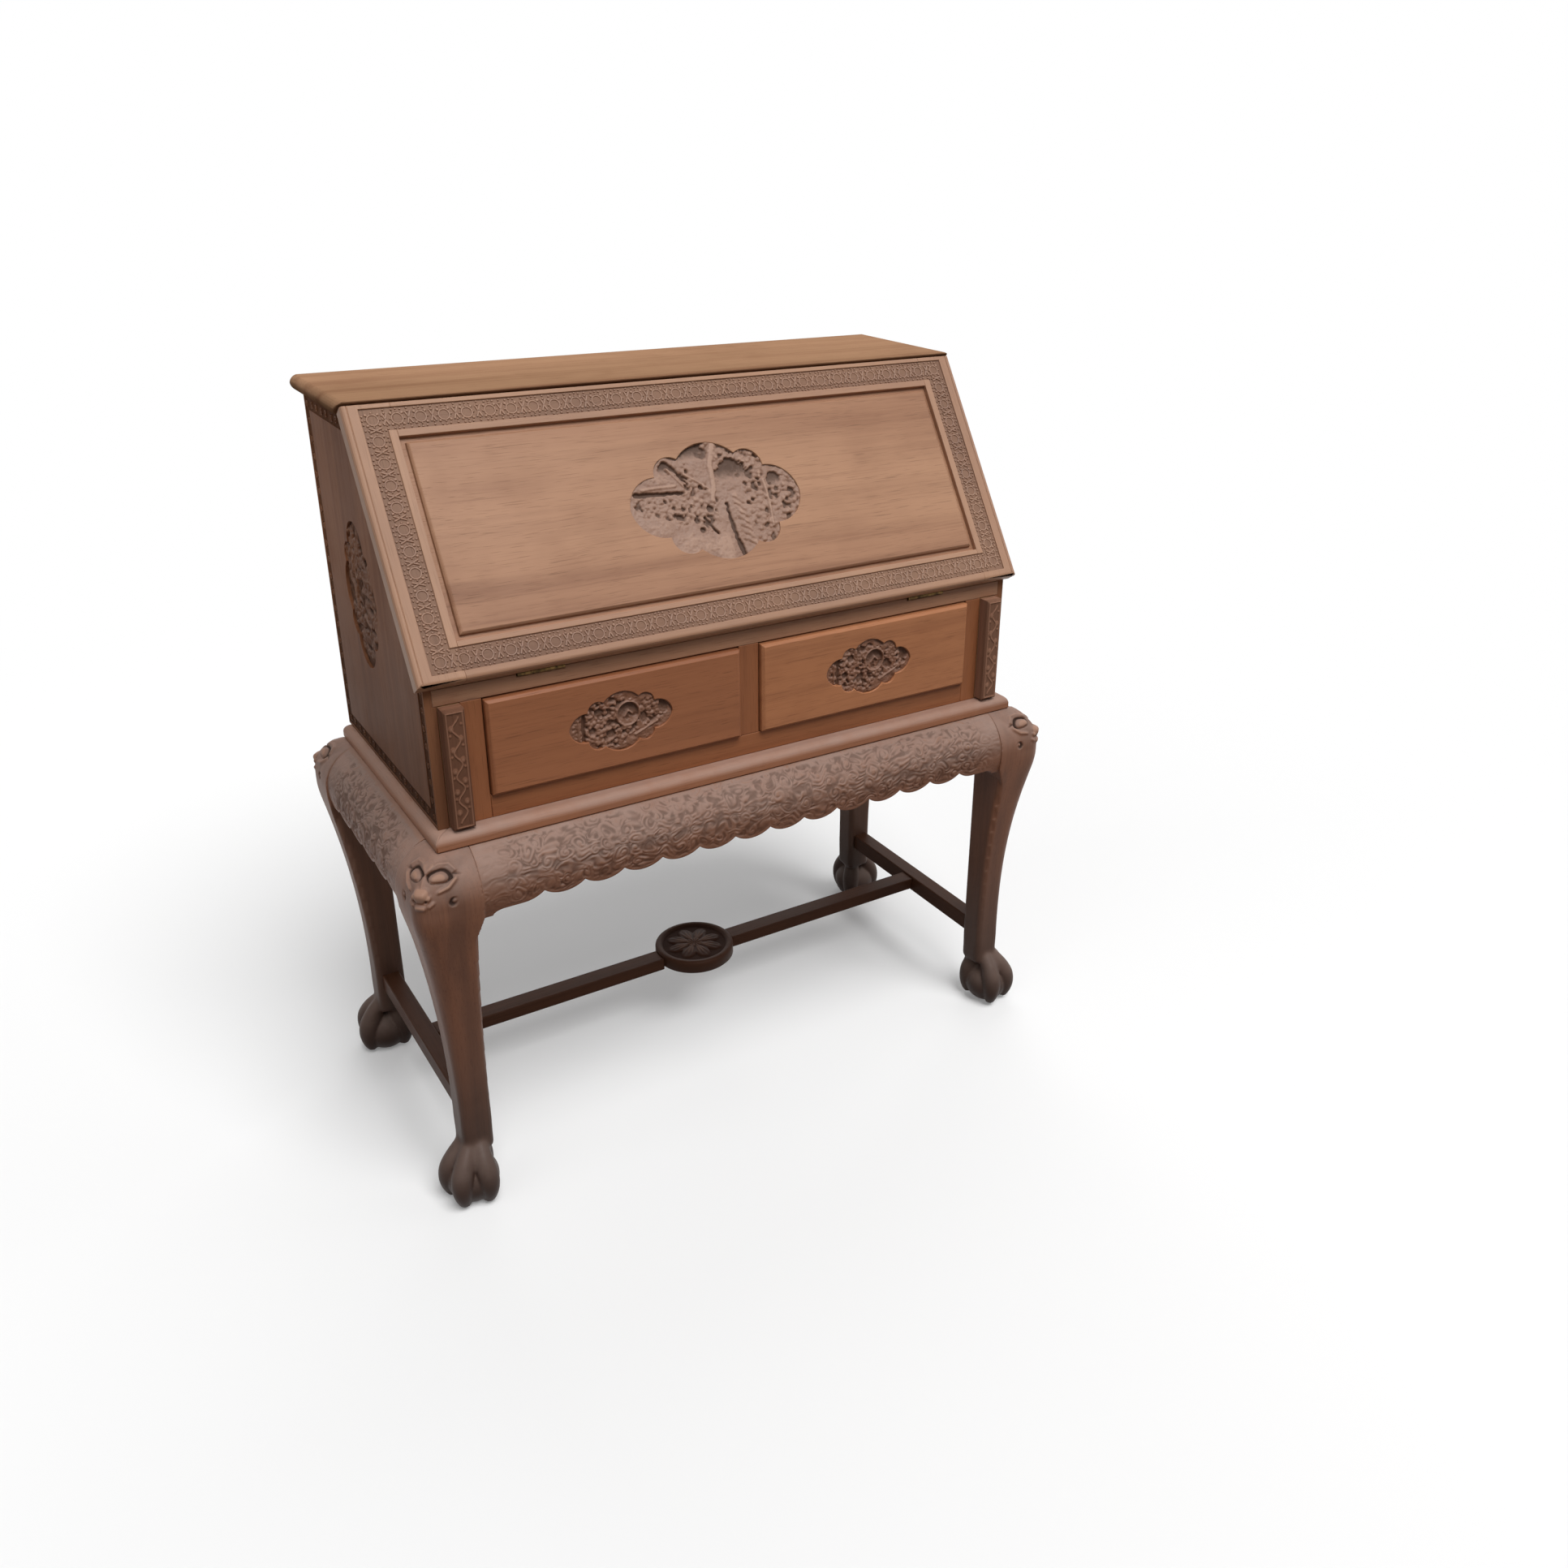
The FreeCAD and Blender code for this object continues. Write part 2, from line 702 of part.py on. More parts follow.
def build_stretchers():
    """Side stretchers between the legs, a medial stretcher in two halves and its roundel."""
    middle = size.leg_place_side + size.ankle_width / 2
    half = size.side_stretcher_width / 2
    low = size.stretcher_top - size.side_stretcher_height
    shoulder, tenon_end = size.leg_place_depth, size.leg_place_depth + size.stretcher_tenon
    bar = board("right_stretcher_bar", (middle - half, middle + half), (-shoulder, shoulder),
                (low, size.stretcher_top))
    tongue = board("right_stretcher_tenon", stretcher_tenon_x(), (-tenon_end, tenon_end),
                   stretcher_tenon_z())
    medial_low = size.medial_top - size.medial_height
    inset = size.stretcher_tenon_inset
    tenon_y = (-size.stretcher_tenon_width / 2, size.stretcher_tenon_width / 2)
    tenon_z = (medial_low + inset, size.medial_top - inset)
    inner = middle - half
    socket = board("medial_outer_tenon", (inner, inner + size.medial_tenon), tenon_y, tenon_z)
    right = node(cut("right_side_bar", fused("right_bar_whole", [bar, tongue]), [socket]),
                 "right_stretcher")
    node(mirrored("left_side_bar", right, ACROSS), "left_stretcher")

    edge = size.roundel_radius
    rail = board("medial_rail", (edge / 2, inner), (-size.medial_width / 2, size.medial_width / 2),
                 (medial_low, size.medial_top))
    cope = doc.addObject("Part::Cylinder", "medial_cope")
    bind(cope, Radius=edge, Height=size.roundel_top, Placement__Base__z=0)
    inner_tenon = board("medial_inner_tenon", (edge - 2 * size.medial_tenon, edge + size.medial_tenon),
                        tenon_y, tenon_z)
    right_half = node(
        fused("medial_right", [cut("medial_coped", rail, [cope]), socket, inner_tenon]),
        "right_medial_stretcher")
    node(mirrored("medial_left", right_half, ACROSS), "left_medial_stretcher")

    body = new_body("stretcher_roundel_turned")
    top, base = size.roundel_top, size.roundel_top - size.roundel_height
    rim = size.roundel_rim
    section = [
        (0, base),
        (edge - size.roundel_bevel, base),
        (edge, base + size.roundel_bevel),
        (edge, top - rim / 2, size.roundel_round),
        (edge - rim / 2, top),
        (edge - rim, top),
        (edge - rim - size.roundel_sink, top - size.roundel_sink),
        (0, top - size.roundel_sink),
    ]
    turned = body.newObject("PartDesign::Revolution", "roundel_turned")
    turned.Profile = outline(body, "section", "XZ_Plane", section)
    turned.ReferenceAxis = (turned.Profile[0], ["V_Axis"])
    turned.Angle = 360
    mortise_images = mirrored("medial_left_tenon", inner_tenon, ACROSS)
    node(cut("stretcher_roundel_cut", body, [inner_tenon, mortise_images]), "stretcher_roundel")


def build_sides():
    """Side panels with a sloping front edge, housings for the boards and a carved recess."""
    body = new_body("right_side_panel")
    shape = [
        (CASE_FRONT, CASE_BASE),
        (CASE_BACK, CASE_BASE),
        (CASE_BACK, TOP_UNDER),
        (SLOPE_AT_TOP, TOP_UNDER),
        (CASE_FRONT, size.writing_height),
    ]
    pad(body, outline(body, "shape", "YZ_Plane", shape, CASE_INNER), size.side_thickness)
    housing = rectangle((CASE_FRONT, BACK_INNER), (BOARD_UNDER, size.writing_height))
    pocket(body, outline(body, "housing", "YZ_Plane", housing, CASE_INNER), size.housing_depth,
           backwards=True)
    rebate = rectangle((BACK_INNER, CASE_BACK), (CASE_BASE, TOP_UNDER))
    pocket(body, outline(body, "rebate", "YZ_Plane", rebate, CASE_INNER), size.rebate_depth,
           backwards=True)
    carved = cartouche_upright(size.side_recess_width, size.side_recess_height,
                               size.side_recess_back, size.side_recess_level)
    pocket(body, outline(body, "recess", "YZ_Plane", carved, CASE_HALF), size.side_recess_depth)
    right = node(body, "right_side")
    node(mirrored("left_side_panel", right, ACROSS), "left_side")


def cartouche_upright(width, height, x, y):
    """The lobed recess outline standing on end, for a panel that is taller than it is wide."""
    lying = cartouche(height, width)
    return [(x - along, y + across, curve) for across, along, curve in lying]


def build_top():
    """The top board, with a bevel and nose over the fall and moulded ends."""
    body = new_body("top_board_body")
    reach = size.fall_length + size.fall_top_gap
    bevel_y = CASE_FRONT + reach * SLOPE_COSINE
    bevel_z = size.writing_height + reach * SLOPE_SINE
    nose_z = size.total_height - size.top_nose
    nose_y = bevel_y - (nose_z - bevel_z) * SLOPE_SINE / SLOPE_COSINE
    under_y = bevel_y + (bevel_z - TOP_UNDER) * SLOPE_SINE / SLOPE_COSINE
    back = CASE_BACK + size.top_back_overhang
    section = [
        (under_y, TOP_UNDER),
        (back, TOP_UNDER),
        (back, size.total_height),
        (nose_y + size.top_nose, size.total_height, size.top_nose),
        (nose_y, nose_z),
    ]
    width = CASE_HALF + size.top_overhang
    pad(body, outline(body, "section", "YZ_Plane", section), 2 * width, symmetric=True)
    lip = TOP_UNDER + size.lip_height
    round_over = size.total_height - lip
    cove = size.top_cove
    step = lip - size.lip_step
    for end, side in SIDES:
        below = [
            (side * (width + OVERCUT), TOP_UNDER - OVERCUT),
            (side * (width + OVERCUT), step),
            (side * width, step, -side * cove * COVE_CURVE),
            (side * (width - cove), TOP_UNDER),
            (side * (width - cove), TOP_UNDER - OVERCUT),
        ]
        above = [
            (side * width, lip),
            (side * (width + OVERCUT), lip),
            (side * (width + OVERCUT), size.total_height + OVERCUT),
            (side * (width - round_over), size.total_height + OVERCUT),
            (side * (width - round_over), size.total_height, -side * size.lip_round),
        ]
        for name, corners in (("cove", below), ("round", above)):
            pocket(body, outline(body, f"{end}_{name}", "XZ_Plane", turned_round(corners, side)))
    node(body, "top_board")


def turned_round(corners, side):
    """Keep an outline anticlockwise after its mirror image is taken."""
    if side > 0:
        return corners
    swapped = []
    for index, corner in enumerate(corners):
        before = corners[index - 1]
        curve = before[2:] and (-before[2],)
        swapped.append(corner[:2] + tuple(curve))
    return [swapped[(len(swapped) - index) % len(swapped)] for index in range(len(swapped))]


def build_case_boards():
    """Boards inside the case: back, bottom, partitions, rails and the drawers' guide."""
    half_back = CASE_INNER + size.rebate_depth
    node(board("back_board", (-half_back, half_back), (BACK_INNER, CASE_BACK), (CASE_BASE, TOP_UNDER)),
         "back_panel")
    opening = size.drawer_outer_edge
    rail_y = (CASE_FRONT, CASE_FRONT + size.front_rail_depth)
    inside_y = (rail_y[1], BACK_INNER)
    floor = size.drawer_opening_low
    node(board("front_rail", (-opening, opening), rail_y, (CASE_BASE, floor)), "bottom_rail")
    node(board("dustboard", (-opening, opening), inside_y, (floor - size.dustboard_thickness, floor)),
         "case_bottom")
    for name, x in (("right", (opening, PARTITION_OUTER)), ("left", (-PARTITION_OUTER, -opening))):
        node(board(f"{name}_upright", x, (CASE_FRONT, BACK_INNER), (CASE_BASE, BOARD_UNDER)),
             f"{name}_partition")
    edge = size.drawer_inner_edge
    node(board("muntin", (-edge, edge), rail_y, (floor, BOARD_UNDER)), "centre_muntin")
    node(board("guide", (-edge, edge), inside_y, (floor, floor + size.guide_height)), "centre_guide")


def fall_frame_placement(piece):
    """Turn a piece drawn flat, with its lower edge on the hinge line, up to the slope."""
    piece.Placement = FreeCAD.Placement(FreeCAD.Vector(), FreeCAD.Rotation(ACROSS, 1))
    bind(piece, Placement__Rotation__Angle=size.fall_slope)
    bind(piece, Placement__Base__y=CASE_FRONT, Placement__Base__z=size.writing_height)
    return piece


def build_fall():
    """The fall: stiles, rails and a raised panel with a carved recess, drawn flat then tilted."""
    inner, outer = size.fall_gap, FALL_OUTER
    low, high = size.fall_gap, size.fall_length
    round_edge, top_round = size.fall_edge_round, size.fall_top_round
    half = size.fall_half_width
    stile_in = half - size.fall_stile
    groove_low = inner + (size.board_thickness - size.panel_tongue) / 2
    groove_high = groove_low + size.panel_tongue
    groove = size.panel_groove_depth
    panel_low, panel_high = low + size.fall_bottom_rail, high - size.fall_top_rail

    stile = new_body("fall_right_stile_body")
    section = [
        (stile_in, inner),
        (half, inner),
        (half, outer - round_edge, round_edge),
        (half - round_edge, outer),
        (stile_in, outer),
        (stile_in, groove_high),
        (stile_in + groove, groove_high),
        (stile_in + groove, groove_low),
        (stile_in, groove_low),
    ]
    pad(stile, outline(stile, "section", "XZ_Plane", section, -high), high - low)
    for name, edge, way, over in (("top", high, 1, top_round), ("bottom", low, -1, round_edge)):
        corner = [
            (edge, outer - over),
            (edge + way * OVERCUT, outer - over),
            (edge + way * OVERCUT, outer + OVERCUT),
            (edge - way * over, outer + OVERCUT),
            (edge - way * over, outer, -way * over),
        ]
        pocket(stile, outline(stile, f"{name}_round", "YZ_Plane", turned_round(corner, way)))
    tenon_z = (groove_low, groove_high)
    inset, haunch = size.rail_tenon_inset, groove + size.rail_tenon_haunch
    bottom_tenon = (low + inset, panel_low - haunch)
    top_tenon = (panel_high + haunch, high - inset)
    for name, span in (("bottom", bottom_tenon), ("top", top_tenon)):
        mortise = outline(stile, f"{name}_mortise", "YZ_Plane", rectangle(span, tenon_z), stile_in)
        pocket(stile, mortise, size.rail_tenon, backwards=True)

    rails = []
    for name, edge, lip, way, span, over in (
        ("bottom", low, panel_low, -1, bottom_tenon, round_edge),
        ("top", high, panel_high, 1, top_tenon, top_round),
    ):
        rail = new_body(f"fall_{name}_rail_body")
        section = [
            (lip, inner),
            (edge, inner),
            (edge, outer - over, way * over),
            (edge - way * over, outer),
            (lip, outer),
            (lip, groove_high),
            (lip + way * groove, groove_high),
            (lip + way * groove, groove_low),
            (lip, groove_low),
        ]
        pad(rail, outline(rail, "section", "YZ_Plane", turned_round(section, way)), 2 * stile_in,
            symmetric=True)
        for end, start in (("right", stile_in), ("left", -(stile_in + size.rail_tenon))):
            sketch = outline(rail, f"{end}_tenon", "YZ_Plane", rectangle(span, tenon_z), start)
            pad(rail, sketch, size.rail_tenon)
        rails.append(rail)

    panel = new_body("fall_panel_body")
    tongue = rectangle((-(stile_in + groove), stile_in + groove), (panel_low - groove, panel_high + groove))
    pad(panel, outline(panel, "tongue", "XY_Plane", tongue, groove_low), size.panel_tongue)
    margin = size.panel_margin
    field = rectangle((margin - stile_in, stile_in - margin), (panel_low + margin, panel_high - margin))
    pad(panel, outline(panel, "field", "XY_Plane", field, groove_high), outer - groove_high)
    doc.recompute()
    face_level = FALL_OUTER.value

    def field_edge(edge):
        return edge.BoundBox.ZMin > face_level - TOUCH

    bevelled(panel, size.panel_bevel, field_edge)
    recess = cartouche(size.fall_recess_width, size.fall_recess_height, 0, (low + high) / 2)
    pocket(panel, outline(panel, "recess", "XY_Plane", recess, outer), size.recess_depth)

    # The hinges' gains in the lower rail, cut in the flat position.
    gains = hinge_gains("fall", 1)
    bottom_rail = cut("fall_bottom_rail_gained", rails[0], gains)
    left_stile = mirrored("fall_left_stile_image", stile, ACROSS)
    for piece, label in (
        (stile, "fall_right_stile"),
        (left_stile, "fall_left_stile"),
        (rails[1], "fall_top_rail"),
        (bottom_rail, "fall_bottom_rail"),
        (panel, "fall_panel"),
    ):
        node(tilted(piece, label), label)


def tilted(piece, label):
    """A flat-drawn piece of the fall, set at its slope."""
    return fall_frame_placement(compound(f"{label}_tilted", [piece]))


def knuckle(name, radius, x, y=0, z=0):
    """A cylinder along X between two sizes."""
    barrel = doc.addObject("Part::Cylinder", name)
    barrel.Placement = FreeCAD.Placement(FreeCAD.Vector(), FreeCAD.Rotation(THROUGH, 90))
    bind(barrel, Radius=radius, Height=x[1] - x[0])
    bind(barrel, Placement__Base__x=x[0], Placement__Base__y=y, Placement__Base__z=z)
    return barrel


def hinge_gains(name, way):
    """The recesses for both hinges in a board that starts on the hinge line and lies along +Y."""
    gains = []
    gap = size.fall_gap
    for end, side in SIDES:
        middle = side * size.hinge_place
        x = (middle - size.hinge_length / 2 - gap, middle + size.hinge_length / 2 + gap)
        depth = size.hinge_thickness + gap
        z = (-gap, depth) if way > 0 else (-depth, gap)
        leaf = board(f"{name}_{end}_gain", x, (Size(0), size.hinge_leaf + gap), z)
        barrel = knuckle(f"{name}_{end}_barrel_gain", size.knuckle_radius + size.knuckle_clearance, x)
        gains.append(fused(f"{name}_{end}_gain_whole", [leaf, barrel]))
    return gains


def hinge_leaf(name, middle, way, first):
    """One leaf with its knuckles: the first leaf has the two outer ones, the second the middle."""
    third = size.hinge_length / 3
    low = middle - size.hinge_length / 2
    play = size.fall_gap / 2
    clear = size.knuckle_radius + size.knuckle_clearance
    thick = size.hinge_thickness
    start = size.fall_gap if way > 0 else Size(0)
    z = (start, start + thick) if way > 0 else (-thick, Size(0))
    plate = board(f"{name}_plate", (low, low + size.hinge_length), (clear, size.hinge_leaf), z)
    spans = [(low, low + third - play), (low + 2 * third + play, low + size.hinge_length)]
    if not first:
        spans = [(low + third + play, low + 2 * third - play)]
    pieces = [plate]
    for index, span in enumerate(spans):
        pieces.append(knuckle(f"{name}_knuckle_{index}", size.knuckle_radius, span))
        pieces.append(board(f"{name}_tab_{index}", span, (Size(0), clear), z))
    bore = knuckle(f"{name}_bore", size.hinge_pin_radius + size.hinge_pin_play,
                   (low - OVERCUT, low + size.hinge_length + OVERCUT))
    return cut(f"{name}_bored", fused(f"{name}_whole", pieces), [bore])


def build_writing_board():
    """The writing board, let into the sides, with the hinges' gains in its front edge."""
    half = CASE_INNER + size.housing_depth
    plain = board("writing_board_plain", (-half, half), (Size(0), BACK_INNER - CASE_FRONT),
                  (-size.board_thickness, Size(0)))
    gained = cut("writing_board_gained", plain, hinge_gains("board", -1))
    bind(gained, Placement__Base__y=CASE_FRONT, Placement__Base__z=size.writing_height)
    node(gained, "writing_board")


def build_hinges():
    """A pair of brass butt hinges on the fall's lower edge."""
    board_leaves, fall_leaves, pins = [], [], []
    for end, side in SIDES:
        middle = side * size.hinge_place
        board_leaves.append(hinge_leaf(f"board_{end}_leaf", middle, -1, True))
        fall_leaves.append(hinge_leaf(f"fall_{end}_leaf", middle, 1, False))
        half = size.hinge_length / 2
        pins.append(knuckle(f"{end}_hinge_pin", size.hinge_pin_radius, (middle - half, middle + half)))
    fixed = compound("board_hinge_leaves_group", board_leaves)
    turning = compound("fall_hinge_leaves_group", fall_leaves)
    axles = compound("hinge_pins_group", pins)
    for group in (fixed, axles):
        bind(group, Placement__Base__y=CASE_FRONT, Placement__Base__z=size.writing_height)
    node(fixed, "board_hinge_leaves")
    node(fall_frame_placement(turning), "fall_hinge_leaves")
    node(axles, "hinge_pins")


def build_drawer(name, way):
    """A drawer: a bevelled, carved front with lapped sides, a back and a grooved floor."""
    play = size.drawer_play
    edges = (size.drawer_inner_edge + play, size.drawer_outer_edge - play)
    x = edges if way > 0 else (-edges[1], -edges[0])
    z = (size.drawer_opening_low + play, BOARD_UNDER - size.drawer_top_gap)
    face = CASE_FRONT - size.drawer_proud
    rear = face + size.drawer_front_thickness

    body = new_body(f"{name}_drawer_front_body")
    pad(body, outline(body, "shape", "XZ_Plane", rectangle(x, z), -face), size.drawer_front_thickness,
        backwards=True)
    doc.recompute()

    def front_edge(edge):
        return edge.BoundBox.YMax < face.value + TOUCH

    bevelled(body, size.drawer_front_bevel, front_edge)
    centre = ((x[0] + x[1]) / 2, (z[0] + z[1]) / 2)
    recess = cartouche(size.drawer_recess_width, size.drawer_recess_height, *centre)
    pocket(body, outline(body, "recess", "XZ_Plane", recess, -face), size.recess_depth)

    wall, lap = size.drawer_wall, rear - size.drawer_lap
    end = rear + size.drawer_length
    wall_z = (z[0], z[1] - size.drawer_wall_drop)
    wall_x = ((x[0] + play, x[0] + play + wall), (x[1] - play - wall, x[1] - play))
    floor_z = (z[0] + size.drawer_floor_lift, z[0] + size.drawer_floor_lift + size.drawer_floor)
    tongue = size.drawer_floor_tongue
    floor = board(f"{name}_drawer_floor", (wall_x[0][1] - tongue, wall_x[1][0] + tongue),
                  (rear - tongue, end), floor_z)
    walls = [board(f"{name}_drawer_wall_{index}", span, (lap, end), wall_z)
             for index, span in enumerate(wall_x)]
    node(cut(f"{name}_drawer_front_cut", body, walls + [floor]), f"{name}_drawer_front")
    grooved = [cut(f"{name}_drawer_side_{index}", plank, [floor]) for index, plank in enumerate(walls)]
    node(compound(f"{name}_drawer_sides_group", grooved), f"{name}_drawer_sides")
    node(floor, f"{name}_drawer_bottom")
    node(board(f"{name}_drawer_rear", (wall_x[0][1], wall_x[1][0]), (end - wall, end),
               (floor_z[1], wall_z[1])), f"{name}_drawer_back")


def build_lopers():
    """Two lopers that slide out under the open fall, each with a proud, bevelled face."""
    width_in = PARTITION_OUTER + size.loper_play
    x = (width_in, width_in + size.loper_width)
    top = size.writing_height - FALL_OUTER - size.fall_gap
    low = CASE_BASE + size.loper_play
    for name, way in SIDES:
        span = x if way > 0 else (-x[1], -x[0])
        node(board(f"{name}_loper_bar", span, (CASE_FRONT, CASE_FRONT + size.loper_length), (low, top)),
             f"{name}_loper")
        body = new_body(f"{name}_loper_face_body")
        face_low = CASE_BASE + size.loper_face_lift
        front = CASE_FRONT - size.loper_face
        pad(body, outline(body, "shape", "XZ_Plane", rectangle(span, (face_low, top)), -CASE_FRONT),
            size.loper_face)
        doc.recompute()

        def arris(edge):
            return edge.BoundBox.YMax < front.value + TOUCH

        bevelled(body, size.loper_bevel, arris)
        node(body, f"{name}_loper_face")


def build_inside():
    """The fitted inside: a shelf on dividers, making pigeonholes over a row with two drawers."""
    y = (size.inside_front, BACK_INNER)
    shelf_top = size.shelf_level + size.shelf_thickness
    node(board("pigeonhole_shelf", (-CASE_INNER, CASE_INNER), y, (size.shelf_level, shelf_top)),
         "inside_shelf")
    half = size.shelf_thickness / 2
    for label, z in (
        ("upper", (shelf_top, TOP_UNDER)),
        ("lower", (size.writing_height, size.shelf_level)),
    ):
        pair = []
        for end, side in SIDES:
            middle = side * size.divider_place
            pair.append(board(f"{label}_{end}_divider", (middle - half, middle + half), y, z))
        node(compound(f"{label}_dividers_group", pair), f"inside_{label}_dividers")
    for name, way in SIDES:
        build_small_drawer(name, way)


def build_small_drawer(name, way):
    """A small drawer inside: its front, its box and a turned knob."""
    play = size.loper_play
    edges = (size.divider_place + size.shelf_thickness / 2 + play, CASE_INNER - play)
    x = edges if way > 0 else (-edges[1], -edges[0])
    z = (size.writing_height + play, size.shelf_level - play)
    front = size.inside_front
    rear = front + size.small_drawer_front
    end = rear + size.small_drawer_length - size.small_drawer_front
    node(board(f"small_{name}_front", x, (front, rear), z), f"inside_{name}_drawer_front")
    wall = size.small_drawer_wall
    floor_z = (z[0] + play, z[0] + play + size.small_drawer_floor)
    wall_z = (z[0] + play, z[1] - wall)
    spans = ((x[0] + play, x[0] + play + wall), (x[1] - play - wall, x[1] - play))
    pieces = [board(f"small_{name}_wall_{index}", span, (rear, end), wall_z)
              for index, span in enumerate(spans)]
    inner = (spans[0][1], spans[1][0])
    pieces.append(board(f"small_{name}_floor", inner, (rear, end), floor_z))
    pieces.append(board(f"small_{name}_back", inner, (end - wall, end), (floor_z[1], wall_z[1])))
    node(compound(f"small_{name}_box", pieces), f"inside_{name}_drawer_box")

    body = new_body(f"small_{name}_knob")
    radius, length = size.knob_radius, size.knob_length
    neck = radius * KNOB_NECK
    brim = length * KNOB_BRIM
    rise = length - brim
    dome = (radius * radius + rise * rise) / (2 * rise)
    section = [
        (0, 0),
        (neck, 0),
        (neck, length * KNOB_WAIST, -radius),
        (radius, brim, dome),
        (0, length),
    ]
    turned = body.newObject("PartDesign::Revolution", f"small_{name}_knob_turned")
    turned.Profile = outline(body, "section", "XZ_Plane", section)
    turned.ReferenceAxis = (turned.Profile[0], ["V_Axis"])
    turned.Angle = 360
    body.Placement = FreeCAD.Placement(FreeCAD.Vector(), FreeCAD.Rotation(ACROSS, 90))
    bind(body, Placement__Base__x=(x[0] + x[1]) / 2, Placement__Base__y=front,
         Placement__Base__z=(z[0] + z[1]) / 2)
    node(body, f"inside_{name}_drawer_knob")


build_legs()
build_aprons()
build_top_frame()
build_stretchers()
build_sides()
build_top()
build_case_boards()
build_writing_board()
build_hinges()
build_fall()
build_drawer("left", -1)
build_drawer("right", 1)
build_lopers()
build_inside()
doc.recompute()

failed = [entry.Name for entry in doc.Objects if {"Invalid", "Error"} & set(entry.State)]
for piece in NODES:
    if piece.Shape.isNull() or not piece.Shape.isValid() or piece.Shape.Volume <= 0:
        failed.append(piece.Label)
if failed:
    raise RuntimeError(f"these objects failed: {failed}")

os.makedirs("parts", exist_ok=True)
for piece in NODES:
    piece.Shape.exportStep(os.path.join("parts", f"{piece.Label}.step"))
print(f"{len(NODES)} sub-parts written")
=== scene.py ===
"""Looks of a carved slant-front bureau on its stand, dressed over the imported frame. Metres."""

import json
import logging
import math
from dataclasses import dataclass, replace
from enum import Enum
from typing import Iterable, Sequence, Union

import bmesh
import bpy
import numpy as np
from mathutils import Matrix, Vector
from mathutils.bvhtree import BVHTree


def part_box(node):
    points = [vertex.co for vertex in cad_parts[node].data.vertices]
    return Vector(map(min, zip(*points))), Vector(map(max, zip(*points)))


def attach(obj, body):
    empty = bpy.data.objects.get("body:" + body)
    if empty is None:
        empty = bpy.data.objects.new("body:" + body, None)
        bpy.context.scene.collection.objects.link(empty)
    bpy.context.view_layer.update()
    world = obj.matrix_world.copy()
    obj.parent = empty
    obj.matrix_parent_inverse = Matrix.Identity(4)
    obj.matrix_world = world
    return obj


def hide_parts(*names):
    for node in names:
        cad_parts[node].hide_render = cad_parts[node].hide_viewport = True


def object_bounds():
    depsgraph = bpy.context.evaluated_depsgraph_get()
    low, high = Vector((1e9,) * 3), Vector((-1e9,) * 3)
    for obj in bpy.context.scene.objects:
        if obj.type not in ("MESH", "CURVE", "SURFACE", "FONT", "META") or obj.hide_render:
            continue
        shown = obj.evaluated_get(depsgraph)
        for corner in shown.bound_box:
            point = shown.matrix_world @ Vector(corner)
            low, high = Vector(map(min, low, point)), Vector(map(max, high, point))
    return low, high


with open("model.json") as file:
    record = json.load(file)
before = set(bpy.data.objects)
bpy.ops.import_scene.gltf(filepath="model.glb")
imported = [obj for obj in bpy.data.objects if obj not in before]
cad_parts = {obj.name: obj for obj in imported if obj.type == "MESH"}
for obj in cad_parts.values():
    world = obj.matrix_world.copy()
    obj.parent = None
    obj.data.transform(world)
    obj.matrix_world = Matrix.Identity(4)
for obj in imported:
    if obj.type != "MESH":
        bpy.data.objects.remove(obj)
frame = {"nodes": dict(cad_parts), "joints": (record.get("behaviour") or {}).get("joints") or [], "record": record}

CAD_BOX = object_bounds()
MM = 0.001
MERGE = 1e-6
FLAT = math.radians(0.5)
SHARP = math.radians(24)
CREASE = math.radians(60)
ROUNDING_FACETS = 2
FULL_TURN = 2 * math.pi
TABLE = 64
RELIEF = "relief"
SIDES = {"left": -1, "right": 1}

log = logging.getLogger("bureau")
Array = np.ndarray
Mesh = bpy.types.Mesh
Piece = bpy.types.Object
Material = bpy.types.Material
Colour = tuple[float, float, float, float]
Vec = tuple[float, float, float]
Point = tuple[float, float]
Term = Union["Value", float]
MADE: dict["Finish", Material] = {}
NODE_BODY = {name: body for body, names in frame["record"]["behaviour"]["bodies"].items() for name in names}


def srgb(red: int, green: int, blue: int) -> Colour:
    """Turn a colour as the eye reads it, 0 to 255, into shader values.

    Args:
        red: Red share.
        green: Green share.
        blue: Blue share.

    Returns:
        The linear colour with full alpha.
    """
    shares = (np.array([red, green, blue]) / 255.0).tolist()
    linear = [s / 12.92 if s <= 0.04045 else ((s + 0.055) / 1.055) ** 2.4 for s in shares]
    return (linear[0], linear[1], linear[2], 1.0)


# Node trees


